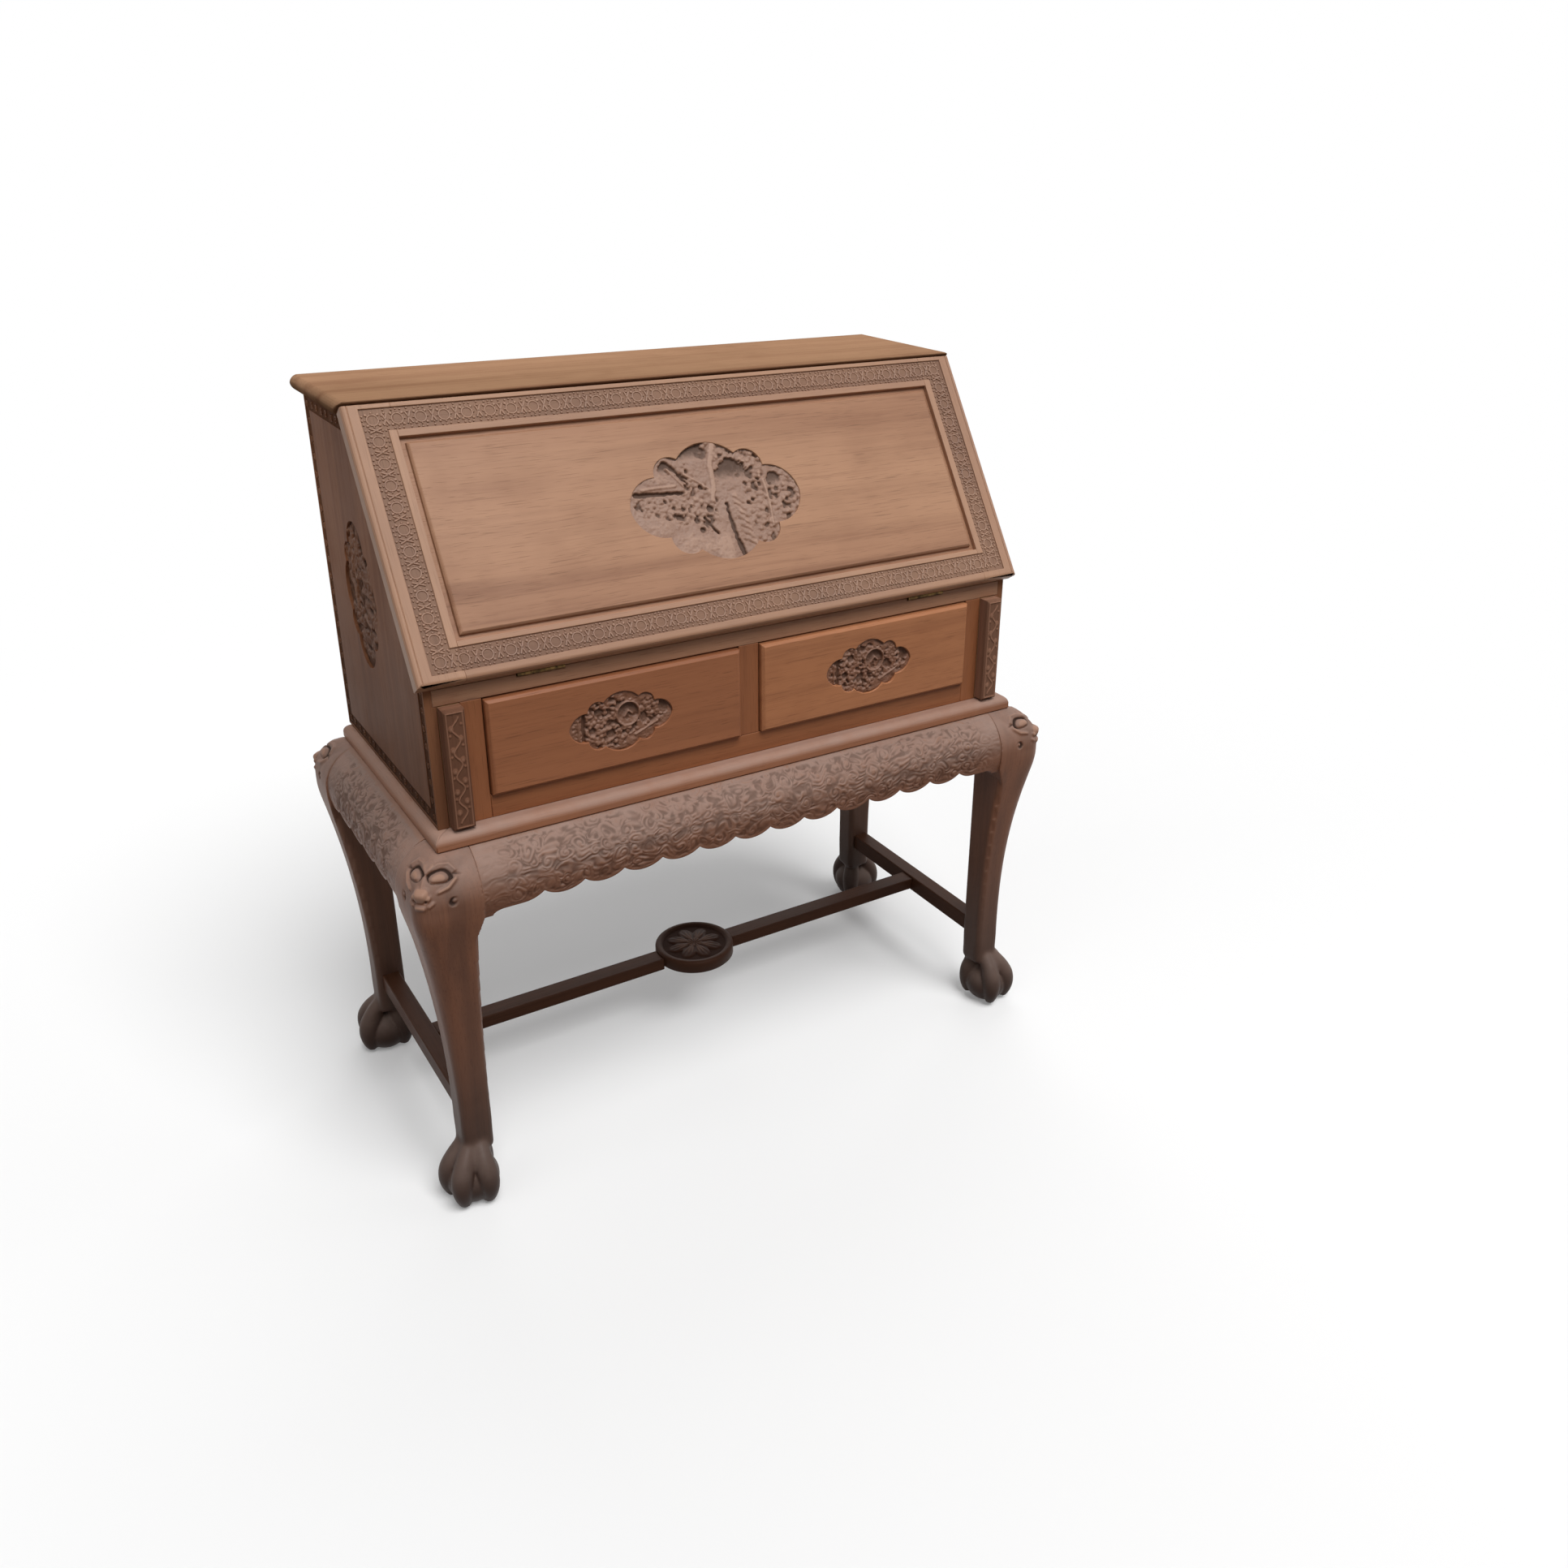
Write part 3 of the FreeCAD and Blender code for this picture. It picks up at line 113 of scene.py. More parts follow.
class Value:
    """A node's output socket that takes part in Python arithmetic."""

    def __init__(self, bench: "Bench", socket: bpy.types.NodeSocket) -> None:
        """Hold a socket and the tree it belongs to."""
        self.bench = bench
        self.socket = socket

    def _math(self, operation: str, first: Term, second: Term) -> "Value":
        """Add one Math node on two terms."""
        return self.bench.node("ShaderNodeMath", {"operation": operation}, {0: first, 1: second})

    def __add__(self, other: Term) -> "Value":
        """Sum."""
        return self._math("ADD", self, other)

    __radd__ = __add__

    def __sub__(self, other: Term) -> "Value":
        """Difference."""
        return self._math("SUBTRACT", self, other)

    def __rsub__(self, other: Term) -> "Value":
        """Difference from a plain number."""
        return self._math("SUBTRACT", other, self)

    def __mul__(self, other: Term) -> "Value":
        """Product."""
        return self._math("MULTIPLY", self, other)

    __rmul__ = __mul__

    def __truediv__(self, other: Term) -> "Value":
        """Quotient."""
        return self._math("DIVIDE", self, other)

    def __rtruediv__(self, other: Term) -> "Value":
        """Quotient of a plain number."""
        return self._math("DIVIDE", other, self)

    def least(self, other: Term) -> "Value":
        """The smaller of two terms."""
        return self._math("MINIMUM", self, other)

    def most(self, other: Term) -> "Value":
        """The larger of two terms."""
        return self._math("MAXIMUM", self, other)


class Bench:
    """A node tree under construction."""

    def __init__(self, tree: bpy.types.NodeTree) -> None:
        """Start with an empty tree."""
        self.tree = tree
        self.tree.nodes.clear()

    def node(self, kind: str, settings: dict | None = None, inputs: dict | None = None,
             output: int | str = 0) -> Value:
        """Add one node of any type.

        Args:
            kind: The node's type name.
            settings: Properties set before anything else.
            inputs: Values or links for sockets, by name or number; a list links several to one.
            output: Which output to hand back.

        Returns:
            The chosen output.
        """
        made = self.tree.nodes.new(kind)
        for name, value in (settings or {}).items():
            setattr(made, name, value)
        for key, value in (inputs or {}).items():
            for entry in value if isinstance(value, list) else [value]:
                if isinstance(entry, Value):
                    self.tree.links.new(entry.socket, made.inputs[key])
                else:
                    made.inputs[key].default_value = entry
        return Value(self, made.outputs[output] if len(made.outputs) else None)

    def join(self, x: Term, y: Term, z: Term) -> Value:
        """A vector from three values."""
        return self.node("ShaderNodeCombineXYZ", None, {0: x, 1: y, 2: z})


class Paint(Bench):
    """A material under construction."""

    def __init__(self, name: str) -> None:
        """Make an empty material."""
        self.material = bpy.data.materials.new(name)
        self.material.use_nodes = True
        super().__init__(self.material.node_tree)

    def coordinates(self, kind: str = "Object") -> Value:
        """Where a point lies on its piece, or its normal there."""
        return self.node("ShaderNodeTexCoord", None, None, kind)

    def dot(self, vector: Value, axis: Vec) -> Value:
        """How far a vector reaches along an axis."""
        return self.node("ShaderNodeVectorMath", {"operation": "DOT_PRODUCT"}, {0: vector, 1: axis}, 1)

    def noise(self, vector: Value, scale: float, detail: float = 2.0, rough: float = 0.5) -> Value:
        """Soft noise about one half."""
        return self.node("ShaderNodeTexNoise", None,
                         {"Vector": vector, "Scale": scale, "Detail": detail, "Roughness": rough})

    def fade(self, value: Value, low: float, high: float) -> Value:
        """A smooth step from 0 at low to 1 at high."""
        return self.node("ShaderNodeMapRange", {"interpolation_type": "SMOOTHSTEP"},
                         {"Value": value, "From Min": low, "From Max": high})

    def blend(self, first: Value | Colour, second: Value | Colour, share: Term) -> Value:
        """Mix two colours by a share of the second."""
        return self.node("ShaderNodeMix", {"data_type": "RGBA"}, {0: share, 6: first, 7: second}, 2)

    def surface(self, shader: Value) -> Material:
        """Put a shader on the material's surface."""
        self.node("ShaderNodeOutputMaterial", None, {"Surface": shader})
        return self.material


class Jig(Bench):
    """A geometry tree under construction, with named inputs."""

    STRAP_SIDES = 6

    def __init__(self, name: str, numbers: Sequence[str]) -> None:
        """Make an empty tree with a geometry input, numbers and a material.

        Args:
            name: The tree's name.
            numbers: Names of its number inputs.
        """
        tree = bpy.data.node_groups.new(name, "GeometryNodeTree")
        super().__init__(tree)
        kinds = [("Geometry", "NodeSocketGeometry")]
        kinds += [(number, "NodeSocketFloat") for number in numbers]
        kinds += [("Material", "NodeSocketMaterial")]
        self.identifiers = {
            label: tree.interface.new_socket(label, in_out="INPUT", socket_type=kind).identifier
            for label, kind in kinds
        }
        tree.interface.new_socket("Geometry", in_out="OUTPUT", socket_type="NodeSocketGeometry")
        self.entry = tree.nodes.new("NodeGroupInput")

    def given(self, label: str) -> Value:
        """One of the tree's inputs."""
        return Value(self, self.entry.outputs[label])

    def named(self, attribute: str) -> Value:
        """A number stored on the points."""
        return self.node("GeometryNodeInputNamedAttribute", {"data_type": "FLOAT"}, {"Name": attribute})

    def strap(self, curve: Value, width: Value, rise: Value) -> Value:
        """A flattened round strap along a curve.

        Args:
            curve: The line that it follows.
            width: Its width.
            rise: Its height above the line.

        Returns:
            The strap.
        """
        profile = self.node("GeometryNodeCurvePrimitiveCircle", None,
                            {"Resolution": self.STRAP_SIDES, "Radius": width / 2})
        tube = self.node("GeometryNodeCurveToMesh", None,
                         {"Curve": curve, "Profile Curve": profile, "Fill Caps": True})
        return self.moved(tube, stretch=(1.0, 1.0, rise / (width / 2)))

    def boss(self, radius: Value, rise: Value, place: Sequence[Term] = (0.0, 0.0, 0.0)) -> Value:
        """A low dome."""
        ball = self.node("GeometryNodeMeshUVSphere", None, {"Segments": 7, "Rings": 4, "Radius": radius})
        return self.moved(ball, place, (1.0, 1.0, rise / radius))

    def moved(self, geometry: Value, place: Sequence[Term] = (0.0, 0.0, 0.0),
              stretch: Sequence[Term] = (1.0, 1.0, 1.0)) -> Value:
        """Geometry moved by a place and scaled by a stretch along each axis."""
        return self.node("GeometryNodeTransform", None, {
            "Geometry": geometry,
            "Translation": self.join(*place),
            "Scale": self.join(*stretch),
        })

    def joined(self, parts: list[Value]) -> Value:
        """Several geometries as one."""
        return self.node("GeometryNodeJoinGeometry", None, {"Geometry": parts})

    def planted(self, motif: Value, kind: float) -> Value:
        """A motif on every point of one kind, turned as the point says.

        Args:
            motif: The motif.
            kind: The kind that its points have stored.

        Returns:
            The planted motifs.
        """
        chosen = self.node("FunctionNodeCompare", {"data_type": "FLOAT", "operation": "EQUAL"},
                           {"A": self.named("kind"), "B": kind})
        turn = self.join(0.0, 0.0, self.named("turn"))
        return self.node("GeometryNodeInstanceOnPoints", None, {
            "Points": self.given("Geometry"),
            "Selection": chosen,
            "Instance": motif,
            "Rotation": self.node("FunctionNodeEulerToRotation", None, {0: turn}),
        })

    def close(self, parts: list[Value]) -> "Jig":
        """End the tree with real geometry in its material.

        Args:
            parts: What the tree has made.

        Returns:
            The finished tree.
        """
        real = self.node("GeometryNodeRealizeInstances", None, {"Geometry": self.joined(parts)})
        dressed = self.node("GeometryNodeSetMaterial", None,
                            {"Geometry": real, "Material": self.given("Material")})
        self.node("NodeGroupOutput", None, {0: dressed})
        return self


# Finishes


class Grain(Enum):
    """The way the wood's fibres run: along, across and through a board."""

    ACROSS = ((1, 0, 0), (0, 1, 0), (0, 0, 1))
    DEEP = ((0, 1, 0), (1, 0, 0), (0, 0, 1))
    UPRIGHT = ((0, 0, 1), (1, 0, 0), (0, 1, 0))
    SLOPING = ((0, 0.5498, 0.8353), (1, 0, 0), (0, -0.8353, 0.5498))


class Finish:
    """A finish that becomes one material, however many pieces wear it.

    Attributes:
        slot: The record's material slot, which is not used.
    """

    slot: str

    def material(self) -> Material:
        """The finish as a material, made once.

        Returns:
            The material.
        """
        if self not in MADE:
            MADE[self] = self._paint()
        return MADE[self]

    def _paint(self) -> Material:
        """Make the material, each finish in its own way."""
        raise NotImplementedError


@dataclass(frozen=True)
class WoodFinish(Finish):
    """Old varnished hardwood with a fine pore and a long streaky figure.

    Attributes:
        name: The material's name.
        slot: The record's material slot, which is not used.
        body: The main colour.
        streak: The darker figure.
        light: The paler sapwood and worn tone, which is also the colour of the painted highlight.
        grain: The way the fibres run.
        gloss_rough: Roughness of the polished surface.
        coat: Weight of the varnish.
        shine: How much light the wood itself mirrors.
        figure: Strength of the streaks.
        carved: Whether grime and painted shade, and pale wear with a painted highlight, follow a carved relief.
        dust_and_sheen: Share of grey dust on what faces up, which also paints the sheen of overhead light there.
        grime_and_shade: Share of dark grime in carved ground, which is also painted shade in the hollows.
        low_shade: Share of painted shade low down, darker towards the floor.
        low_shade_levels: Heights between which that painted shade fades away.
        low_shade_levels: Heights between which that dirt fades away.
        wear_and_highlight: Share of pale wear on what the carving raises most, which is also a painted highlight
            there.
        seed: Moves the figure, so that boards differ.
    """

    name: str
    slot: str
    body: Colour
    streak: Colour
    light: Colour
    grain: Grain
    gloss_rough: float = 0.38
    coat: float = 0.04
    shine: float = 0.20
    figure: float = 0.6
    carved: bool = False
    dust_and_sheen: float = 0.0
    grime_and_shade: float = 0.5
    low_shade: float = 0.0
    low_shade_levels: Point = (0.02, 0.42)
    wear_and_highlight: float = 0.40
    seed: float = 0.0

    PORE = srgb(44, 24, 15)
    # The dark colour of grime in carved hollows, and of painted shade in the hollows and low down.
    GRIME_AND_SHADE = srgb(34, 21, 16)
    # The grey of dust, which also stands for painted sheen on what faces up.
    DUST_AND_SHEEN = srgb(166, 146, 136)
    SWAY_SCALE = 2.2
    SWAY = 0.03
    FIGURE_SCALE = (0.8, 26.0)
    BROAD_SCALE = (0.5, 5.5)
    FIBRE_SCALE = (5.0, 300.0)
    PORE_SCALE = (26.0, 900.0)
    SMEAR_SCALE = 7.0
    BLOTCH_SCALE = 38.0

    def _paint(self) -> Material:
        """Make the material from figure, pores, painted shade low down, dust and painted sheen on top, and grime,
        painted shade and a painted highlight in the carving.

        Returns:
            The material.
        """
        paint = Paint(f"{self.name}_{self.grain.name.lower()}" + ("_carved" if self.carved else ""))
        place = paint.coordinates()
        along, across, through = (paint.dot(place, axis) + self.seed for axis in self.grain.value)
        slow = paint.join(*(axis * self.SWAY_SCALE for axis in (along, across, through)))
        across = across + (paint.noise(slow, 1.0, 1.0) - 0.5) * self.SWAY

        def stretched(fine: float, wide: float) -> Value:
            """Place in the wood, with its own scale along and across the fibres."""
            return paint.join(along * fine, across * wide, through * wide)

        figure = paint.noise(stretched(*self.FIGURE_SCALE), 1.0, 5.0, 0.60)
        broad = paint.noise(stretched(*self.BROAD_SCALE), 1.0, 2.0, 0.5)
        fibre = paint.noise(stretched(*self.FIBRE_SCALE), 1.0, 3.0, 0.6)
        pores = paint.fade(paint.noise(stretched(*self.PORE_SCALE), 1.0, 1.0), 0.60, 0.72)
        smears = paint.noise(place, self.SMEAR_SCALE, 3.0, 0.6)

        colour = paint.blend(self.body, self.streak, paint.fade(figure, 0.42, 0.70) * self.figure)
        colour = paint.blend(colour, self.light, paint.fade(broad, 0.46, 0.72) * 0.45)
        colour = paint.blend(colour, self.streak, paint.fade(fibre, 0.50, 0.80) * 0.34)
        colour = paint.blend(colour, self.streak, paint.fade(smears, 0.44, 0.76) * 0.26)
        colour = paint.blend(colour, self.PORE, pores * 0.26)
        rough = self.gloss_rough + smears * 0.16 + pores * 0.10
        # Painted shade low down: the wood darkens towards the floor.
        if self.low_shade:
            level = paint.dot(place, (0, 0, 1)) + (smears - 0.5) * 0.12
            colour = paint.blend(colour, self.GRIME_AND_SHADE, (1.0 - paint.fade(level, *self.low_shade_levels)) * self.low_shade)
        # Grey dust on what faces up, which also paints the sheen of overhead light; there is less of it low down,
        # where the painted shade is.
        if self.dust_and_sheen:
            facing = paint.dot(paint.coordinates("Normal"), (0, 0, 1))
            blotches = paint.noise(place, self.BLOTCH_SCALE, 3.0, 0.6)
            dust_and_sheen_share = paint.fade(facing, -0.3, 0.7) * (0.3 + smears * 0.7 + blotches * 0.7) * self.dust_and_sheen
            if self.low_shade:
                dust_and_sheen_share = dust_and_sheen_share * (0.5 + 0.5 * paint.fade(level, 0.05, 0.40))
            colour = paint.blend(colour, self.DUST_AND_SHEEN, dust_and_sheen_share.least(1.0))
            rough = rough + dust_and_sheen_share * 0.3
        # Grime and painted shade in the carved ground.
        if self.carved:
            relief = paint.node("ShaderNodeAttribute", {"attribute_name": RELIEF}, None, "Fac")
            ground = 1.0 - paint.fade(relief, 0.05, 0.60)
            colour = paint.blend(colour, self.GRIME_AND_SHADE, ground * self.grime_and_shade)
            # Pale wear and a painted highlight on what the carving raises most.
            colour = paint.blend(colour, self.light, paint.fade(relief, 0.78, 1.0) * self.wear_and_highlight)
            rough = rough + ground * 0.25
        bump = paint.node("ShaderNodeBump", None, {
            "Strength": 0.2, "Distance": 0.0003, "Height": fibre * 0.5 - pores})
        shader = paint.node("ShaderNodeBsdfPrincipled", None, {
            "Base Color": colour, "Roughness": rough.least(0.95), "Normal": bump,
            "Coat Weight": self.coat, "Coat Roughness": 0.25, "Specular IOR Level": self.shine})
        return paint.surface(shader)


@dataclass(frozen=True)
class BrassFinish(Finish):
    """Old brass, dulled and darker in patches.

    Attributes:
        name: The material's name.
        slot: The record's material slot, which is not used.
        bright: The bare metal.
        dull: Its tarnish.
    """

    name: str = "old_brass"
    slot: str = "hinge_brass"
    bright: Colour = srgb(108, 84, 50)
    dull: Colour = srgb(50, 38, 25)

    def _paint(self) -> Material:
        """Make the material from tarnish and fine scratches.

        Returns:
            The material.
        """
        paint = Paint(self.name)
        place = paint.coordinates()
        tarnish = paint.fade(paint.noise(place, 90.0, 4.0, 0.65), 0.35, 0.70)
        scratches = paint.noise(paint.join(paint.dot(place, (60, 0, 0)), paint.dot(place, (0, 900, 0)),
                                           paint.dot(place, (0, 0, 900))), 1.0, 2.0)
        bump = paint.node("ShaderNodeBump", None, {
            "Strength": 0.15, "Distance": 0.0002, "Height": scratches})
        shader = paint.node("ShaderNodeBsdfPrincipled", None, {
            "Base Color": paint.blend(self.bright, self.dull, tarnish),
            "Roughness": 0.34 + tarnish * 0.3, "Metallic": 1.0, "Normal": bump})
        return paint.surface(shader)


WALNUT_BODY = srgb(161, 119, 92)
WALNUT_STREAK = srgb(112, 73, 53)
WALNUT_LIGHT = srgb(187, 145, 114)
POLISHED = WoodFinish("polished_wood", "polished_wood", WALNUT_BODY, WALNUT_STREAK, WALNUT_LIGHT,
                      Grain.ACROSS)
# The fall's frame takes dust and painted sheen on what faces up.
FALL_FRAME = replace(POLISHED, name="fall_frame_wood", slot="fall_frame_wood", body=srgb(156, 113, 87),
                     dust_and_sheen=0.24, seed=1.7)
CARCASE = WoodFinish("carcase_wood", "carcase_wood", srgb(130, 83, 57), srgb(90, 53, 36), srgb(152, 102, 73),
                     Grain.ACROSS, coat=0.0, shine=0.02, seed=3.1)
FRONT_RAIL = replace(CARCASE, shine=0.2, body=srgb(144, 90, 58), streak=srgb(104, 60, 38),
                     light=srgb(164, 110, 74))
DRAWER = WoodFinish("drawer_wood", "drawer_wood", srgb(162, 104, 70), srgb(118, 71, 46), srgb(184, 128, 92),
                    Grain.ACROSS, seed=5.3)
# The stand is painted darker low down: painted shade under the case.
STAND = WoodFinish("stand_wood", "stand_wood", srgb(120, 77, 55), srgb(74, 46, 33), srgb(138, 97, 73),
                   Grain.UPRIGHT, gloss_rough=0.36, coat=0.0, shine=0.05, low_shade=0.90, seed=7.9)
WRITING = replace(POLISHED, name="writing_wood", slot="writing_wood", seed=9.4)
INNER = WoodFinish("inner_wood", "inner_wood", srgb(166, 124, 84), srgb(130, 92, 60), srgb(188, 148, 106),
                   Grain.ACROSS, gloss_rough=0.55, coat=0.05, seed=11.2)
BRASS = BrassFinish()


# Meshes


def new_piece(name: str, mesh: Mesh) -> Piece:
    """Put a mesh into the scene as an object at the origin.

    Args:
        name: The piece's name.
        mesh: Its mesh.

    Returns:
        The piece.
    """
    piece = bpy.data.objects.new(name, mesh)
    bpy.context.scene.collection.objects.link(piece)
    return piece


def smooth(mesh: Mesh) -> None:
    """Shade a mesh smooth."""
    mesh.polygons.foreach_set("use_smooth", [True] * len(mesh.polygons))


def finished(name: str, work: bmesh.types.BMesh) -> Mesh:
    """End the work on a mesh.

    Args:
        name: The mesh's name.
        work: What was worked on, which is freed.

    Returns:
        The mesh.
    """
    mesh = bpy.data.meshes.new(name)
    work.to_mesh(mesh)
    work.free()
    return mesh


def mesh_of(name: str, vertices: Array, faces: Sequence) -> Mesh:
    """A smooth-shaded mesh from points and faces.

    Args:
        name: The mesh's name.
        vertices: One row per point.
        faces: Point numbers of each face, anticlockwise seen from outside.

    Returns:
        The mesh.
    """
    mesh = bpy.data.meshes.new(name)
    mesh.from_pydata(np.asarray(vertices).tolist(), [], [list(face) for face in faces])
    smooth(mesh)
    mesh.update()
    return mesh


def store(mesh: Mesh, name: str, values: Array) -> None:
    """Keep one number per point on a mesh."""
    kept = mesh.attributes.get(name) or mesh.attributes.new(name, "FLOAT", "POINT")
    kept.data.foreach_set("value", np.asarray(values, np.float32).ravel())


def points_of(mesh: Mesh, what: str = "co") -> Array:
    """Places or normals of a mesh's points.

    Args:
        mesh: The mesh.
        what: "co" for places, anything else for normals.

    Returns:
        One row for each point.
    """
    rows = np.empty(len(mesh.vertices) * 3)
    source = mesh.vertices if what == "co" else mesh.vertex_normals
    source.foreach_get("co" if what == "co" else "vector", rows)
    return rows.reshape(-1, 3)


def baked(piece: Piece) -> Mesh:
    """Apply a piece's modifiers and take the piece away.

    Args:
        piece: The piece.

    Returns:
        The mesh that it had with its modifiers applied.
    """
    evaluated = piece.evaluated_get(bpy.context.evaluated_depsgraph_get())
    mesh = bpy.data.meshes.new_from_object(evaluated)
    bpy.data.objects.remove(piece)
    return mesh


def merged(node: str) -> Mesh:
    """A copy of a CAD node's mesh with its corners joined and its flat faces whole.

    Args:
        node: The CAD node.

    Returns:
        The copy.
    """
    work = bmesh.new()
    work.from_mesh(frame["nodes"][node].data)
    bmesh.ops.remove_doubles(work, verts=work.verts, dist=MERGE)
    bmesh.ops.dissolve_limit(work, angle_limit=FLAT, verts=work.verts, edges=work.edges)
    return finished(node, work)


def joined(meshes: Sequence[Mesh]) -> Mesh:
    """Several meshes as one.

    Args:
        meshes: The meshes.

    Returns:
        The whole, under the first one's name.
    """
    work = bmesh.new()
    for mesh in meshes:
        work.from_mesh(mesh)
    return finished(meshes[0].name, work)


def block(name: str, low: Vec, high: Vec, place: Matrix) -> Mesh:
    """A closed block.

    Args:
        name: The mesh's name.
        low: Its lowest corner.
        high: Its highest corner.
        place: From those corners' space to the bureau.

    Returns:
        The mesh.
    """
    work = bmesh.new()
    bmesh.ops.create_cube(work, size=1.0)
    middle, size = (Vector(low) + Vector(high)) / 2, Vector(high) - Vector(low)
    work.transform(place @ Matrix.Translation(middle) @ Matrix.Diagonal(size).to_4x4())
    return finished(name, work)


def skinned(name: str, rings: Array, reverse: bool = False) -> Mesh:
    """A closed skin over rings of points, capped at both ends.

    Args:
        name: The mesh's name.
        rings: Points, by ring and by place round it.
        reverse: Whether the rings run the other way round.

    Returns:
        The mesh.
    """
    number = np.arange(rings.shape[0] * rings.shape[1]).reshape(rings.shape[:2])
    turned = np.roll(number, -1, 1)
    corners = [number[:-1], number[1:], turned[1:], turned[:-1]]
    caps = [number[0], number[-1, ::-1]]
    if reverse:
        corners, caps = corners[:1] + corners[:0:-1], [cap[::-1] for cap in caps]
    quads = np.stack(corners, -1).reshape(-1, 4).tolist()
    return mesh_of(name, rings.reshape(-1, 3), quads + [cap.tolist() for cap in caps])


def front_of(node: str, depth: float = 0.0) -> Matrix:
    """From a flat drawing that faces out to a CAD node's front, or to a depth behind it."""
    low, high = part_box(node)
    return Matrix(((1, 0, 0, (low.x + high.x) / 2), (0, 0, -1, low.y + depth),
                   (0, 1, 0, (low.z + high.z) / 2), (0, 0, 0, 1)))


def eased(mesh: Mesh, spots: Array, share: Array, times: int) -> Array:
    """Points of a mesh drawn toward their neighbours, each by its own share.

    Args:
        mesh: The mesh.
        spots: Its points, one row each.
        share: How far each point gives way, from 0 to 1.
        times: How often.

    Returns:
        The eased points.
    """
    ends = np.empty(2 * len(mesh.edges), int)
    mesh.edges.foreach_get("vertices", ends)
    first, second = ends[::2], ends[1::2]
    here, there = np.concatenate([first, second]), np.concatenate([second, first])
    count = np.bincount(here, minlength=len(spots))
    for _ in range(times):
        total = np.stack([np.bincount(here, axis[there], len(spots)) for axis in spots.T], -1)
        spots = spots + 0.5 * share[:, None] * (total / count[:, None] - spots)
    return spots


def carved_away(mesh: Mesh, cutters: Iterable[Mesh]) -> Mesh:
    """A mesh less several closed cutters.

    Args:
        mesh: The mesh.
        cutters: What is taken away from it.

    Returns:
        What is left.
    """
    for cutter in cutters:
        piece, tool = new_piece("blank", mesh), new_piece("cutter", cutter)
        cut = piece.modifiers.new("cut", "BOOLEAN")
        cut.operation, cut.solver, cut.object = "DIFFERENCE", "EXACT", tool
        mesh = baked(piece)
        bpy.data.objects.remove(tool)
    return mesh


def rounded(piece: Piece, width: float) -> Piece:
    """Round a piece's arrises and shade it smooth between them.

    Args:
        piece: The piece.
        width: Width of the rounding.

    Returns:
        The piece.
    """
    smooth(piece.data)
    piece.data.set_sharp_from_angle(angle=SHARP)
    bevel = piece.modifiers.new("rounded", "BEVEL")
    bevel.width, bevel.segments = width, ROUNDING_FACETS
    bevel.limit_method, bevel.angle_limit = "ANGLE", SHARP
    bevel.use_clamp_overlap = False
    even = piece.modifiers.new("even_shading", "WEIGHTED_NORMAL")
    even.keep_sharp = True
    return piece


def seat(piece: Piece, finish: Finish, body: str, nodes: Sequence[str] = ()) -> None:
    """Dress a finished piece and set it on its body.

    Args:
        piece: The piece, at the origin.
        finish: Its finish.
        body: The body that it moves with.
        nodes: CAD nodes that it stands for.
    """
    piece.data.materials.clear()
    piece.data.materials.append(finish.material())
    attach(piece, body)
    if nodes:
        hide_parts(*nodes)
    log.info("%s on %s: %d faces", piece.name, body, len(piece.data.polygons))


def soften(node: str, finish: Finish, width: float) -> None:
    """Make a CAD board with its arrises eased, standing for its node."""
    piece = rounded(new_piece(f"{node}_dressed", merged(node)), width)
    seat(piece, finish, NODE_BODY[node], [node])


def paint_node(node: str, finish: Finish) -> None:
    """Give a CAD node that stays as it is its finish.

    Args:
        node: The CAD node.
        finish: Its finish.
    """
    piece = frame["nodes"][node]
    piece.data.materials.clear()
    piece.data.materials.append(finish.material())
    log.info("%s keeps its CAD shape", node)


# Carved forms, as heights over points


def ramp(low: float, high: float, value: Array) -> Array:
    """A smooth step from 0 at low to 1 at high."""
    share = np.clip((value - low) / (high - low), 0.0, 1.0)
    return share * share * (3.0 - 2.0 * share)


def speckle(u: Array, v: Array, seed: int) -> Array:
    """Smooth noise from 0 to 1 that changes over about one unit.

    Args:
        u: First coordinate of the points.
        v: Second coordinate.
        seed: Sets the noise.

    Returns:
        The noise at each point.
    """
    table = np.random.default_rng(seed).random((TABLE, TABLE))
    column, line = np.floor(u).astype(int), np.floor(v).astype(int)
    x, y = u - column, v - line
    x, y = x * x * (3 - 2 * x), y * y * (3 - 2 * y)
    corners = [table[(line + j) % TABLE, (column + i) % TABLE] for j in (0, 1) for i in (0, 1)]
    below, above = (corners[row] * (1 - x) + corners[row + 1] * x for row in (0, 2))
    return below * (1 - y) + above * y


def cells(u: Array, v: Array, seed: int) -> tuple[Array, Array]:
    """Scattered spots, one to each unit square.

    Args:
        u: First coordinate of the points.
        v: Second coordinate.
        seed: Sets where the spots lie.

    Returns:
        The distance from the nearest spot, and a number from 0 to 1 that is that spot's own.
    """
    across, up, own = np.random.default_rng(seed).random((3, TABLE, TABLE))
    column, line = np.floor(u).astype(int), np.floor(v).astype(int)
    best, number = np.full(u.shape, np.inf), np.zeros(u.shape)
    for j in (-1, 0, 1):
        for i in (-1, 0, 1):
            place = ((line + j) % TABLE, (column + i) % TABLE)
            distance = np.hypot(column + i + across[place] - u, line + j + up[place] - v)
            nearer = distance < best
            best = np.where(nearer, distance, best)
            number = np.where(nearer, own[place], number)
    return best, number


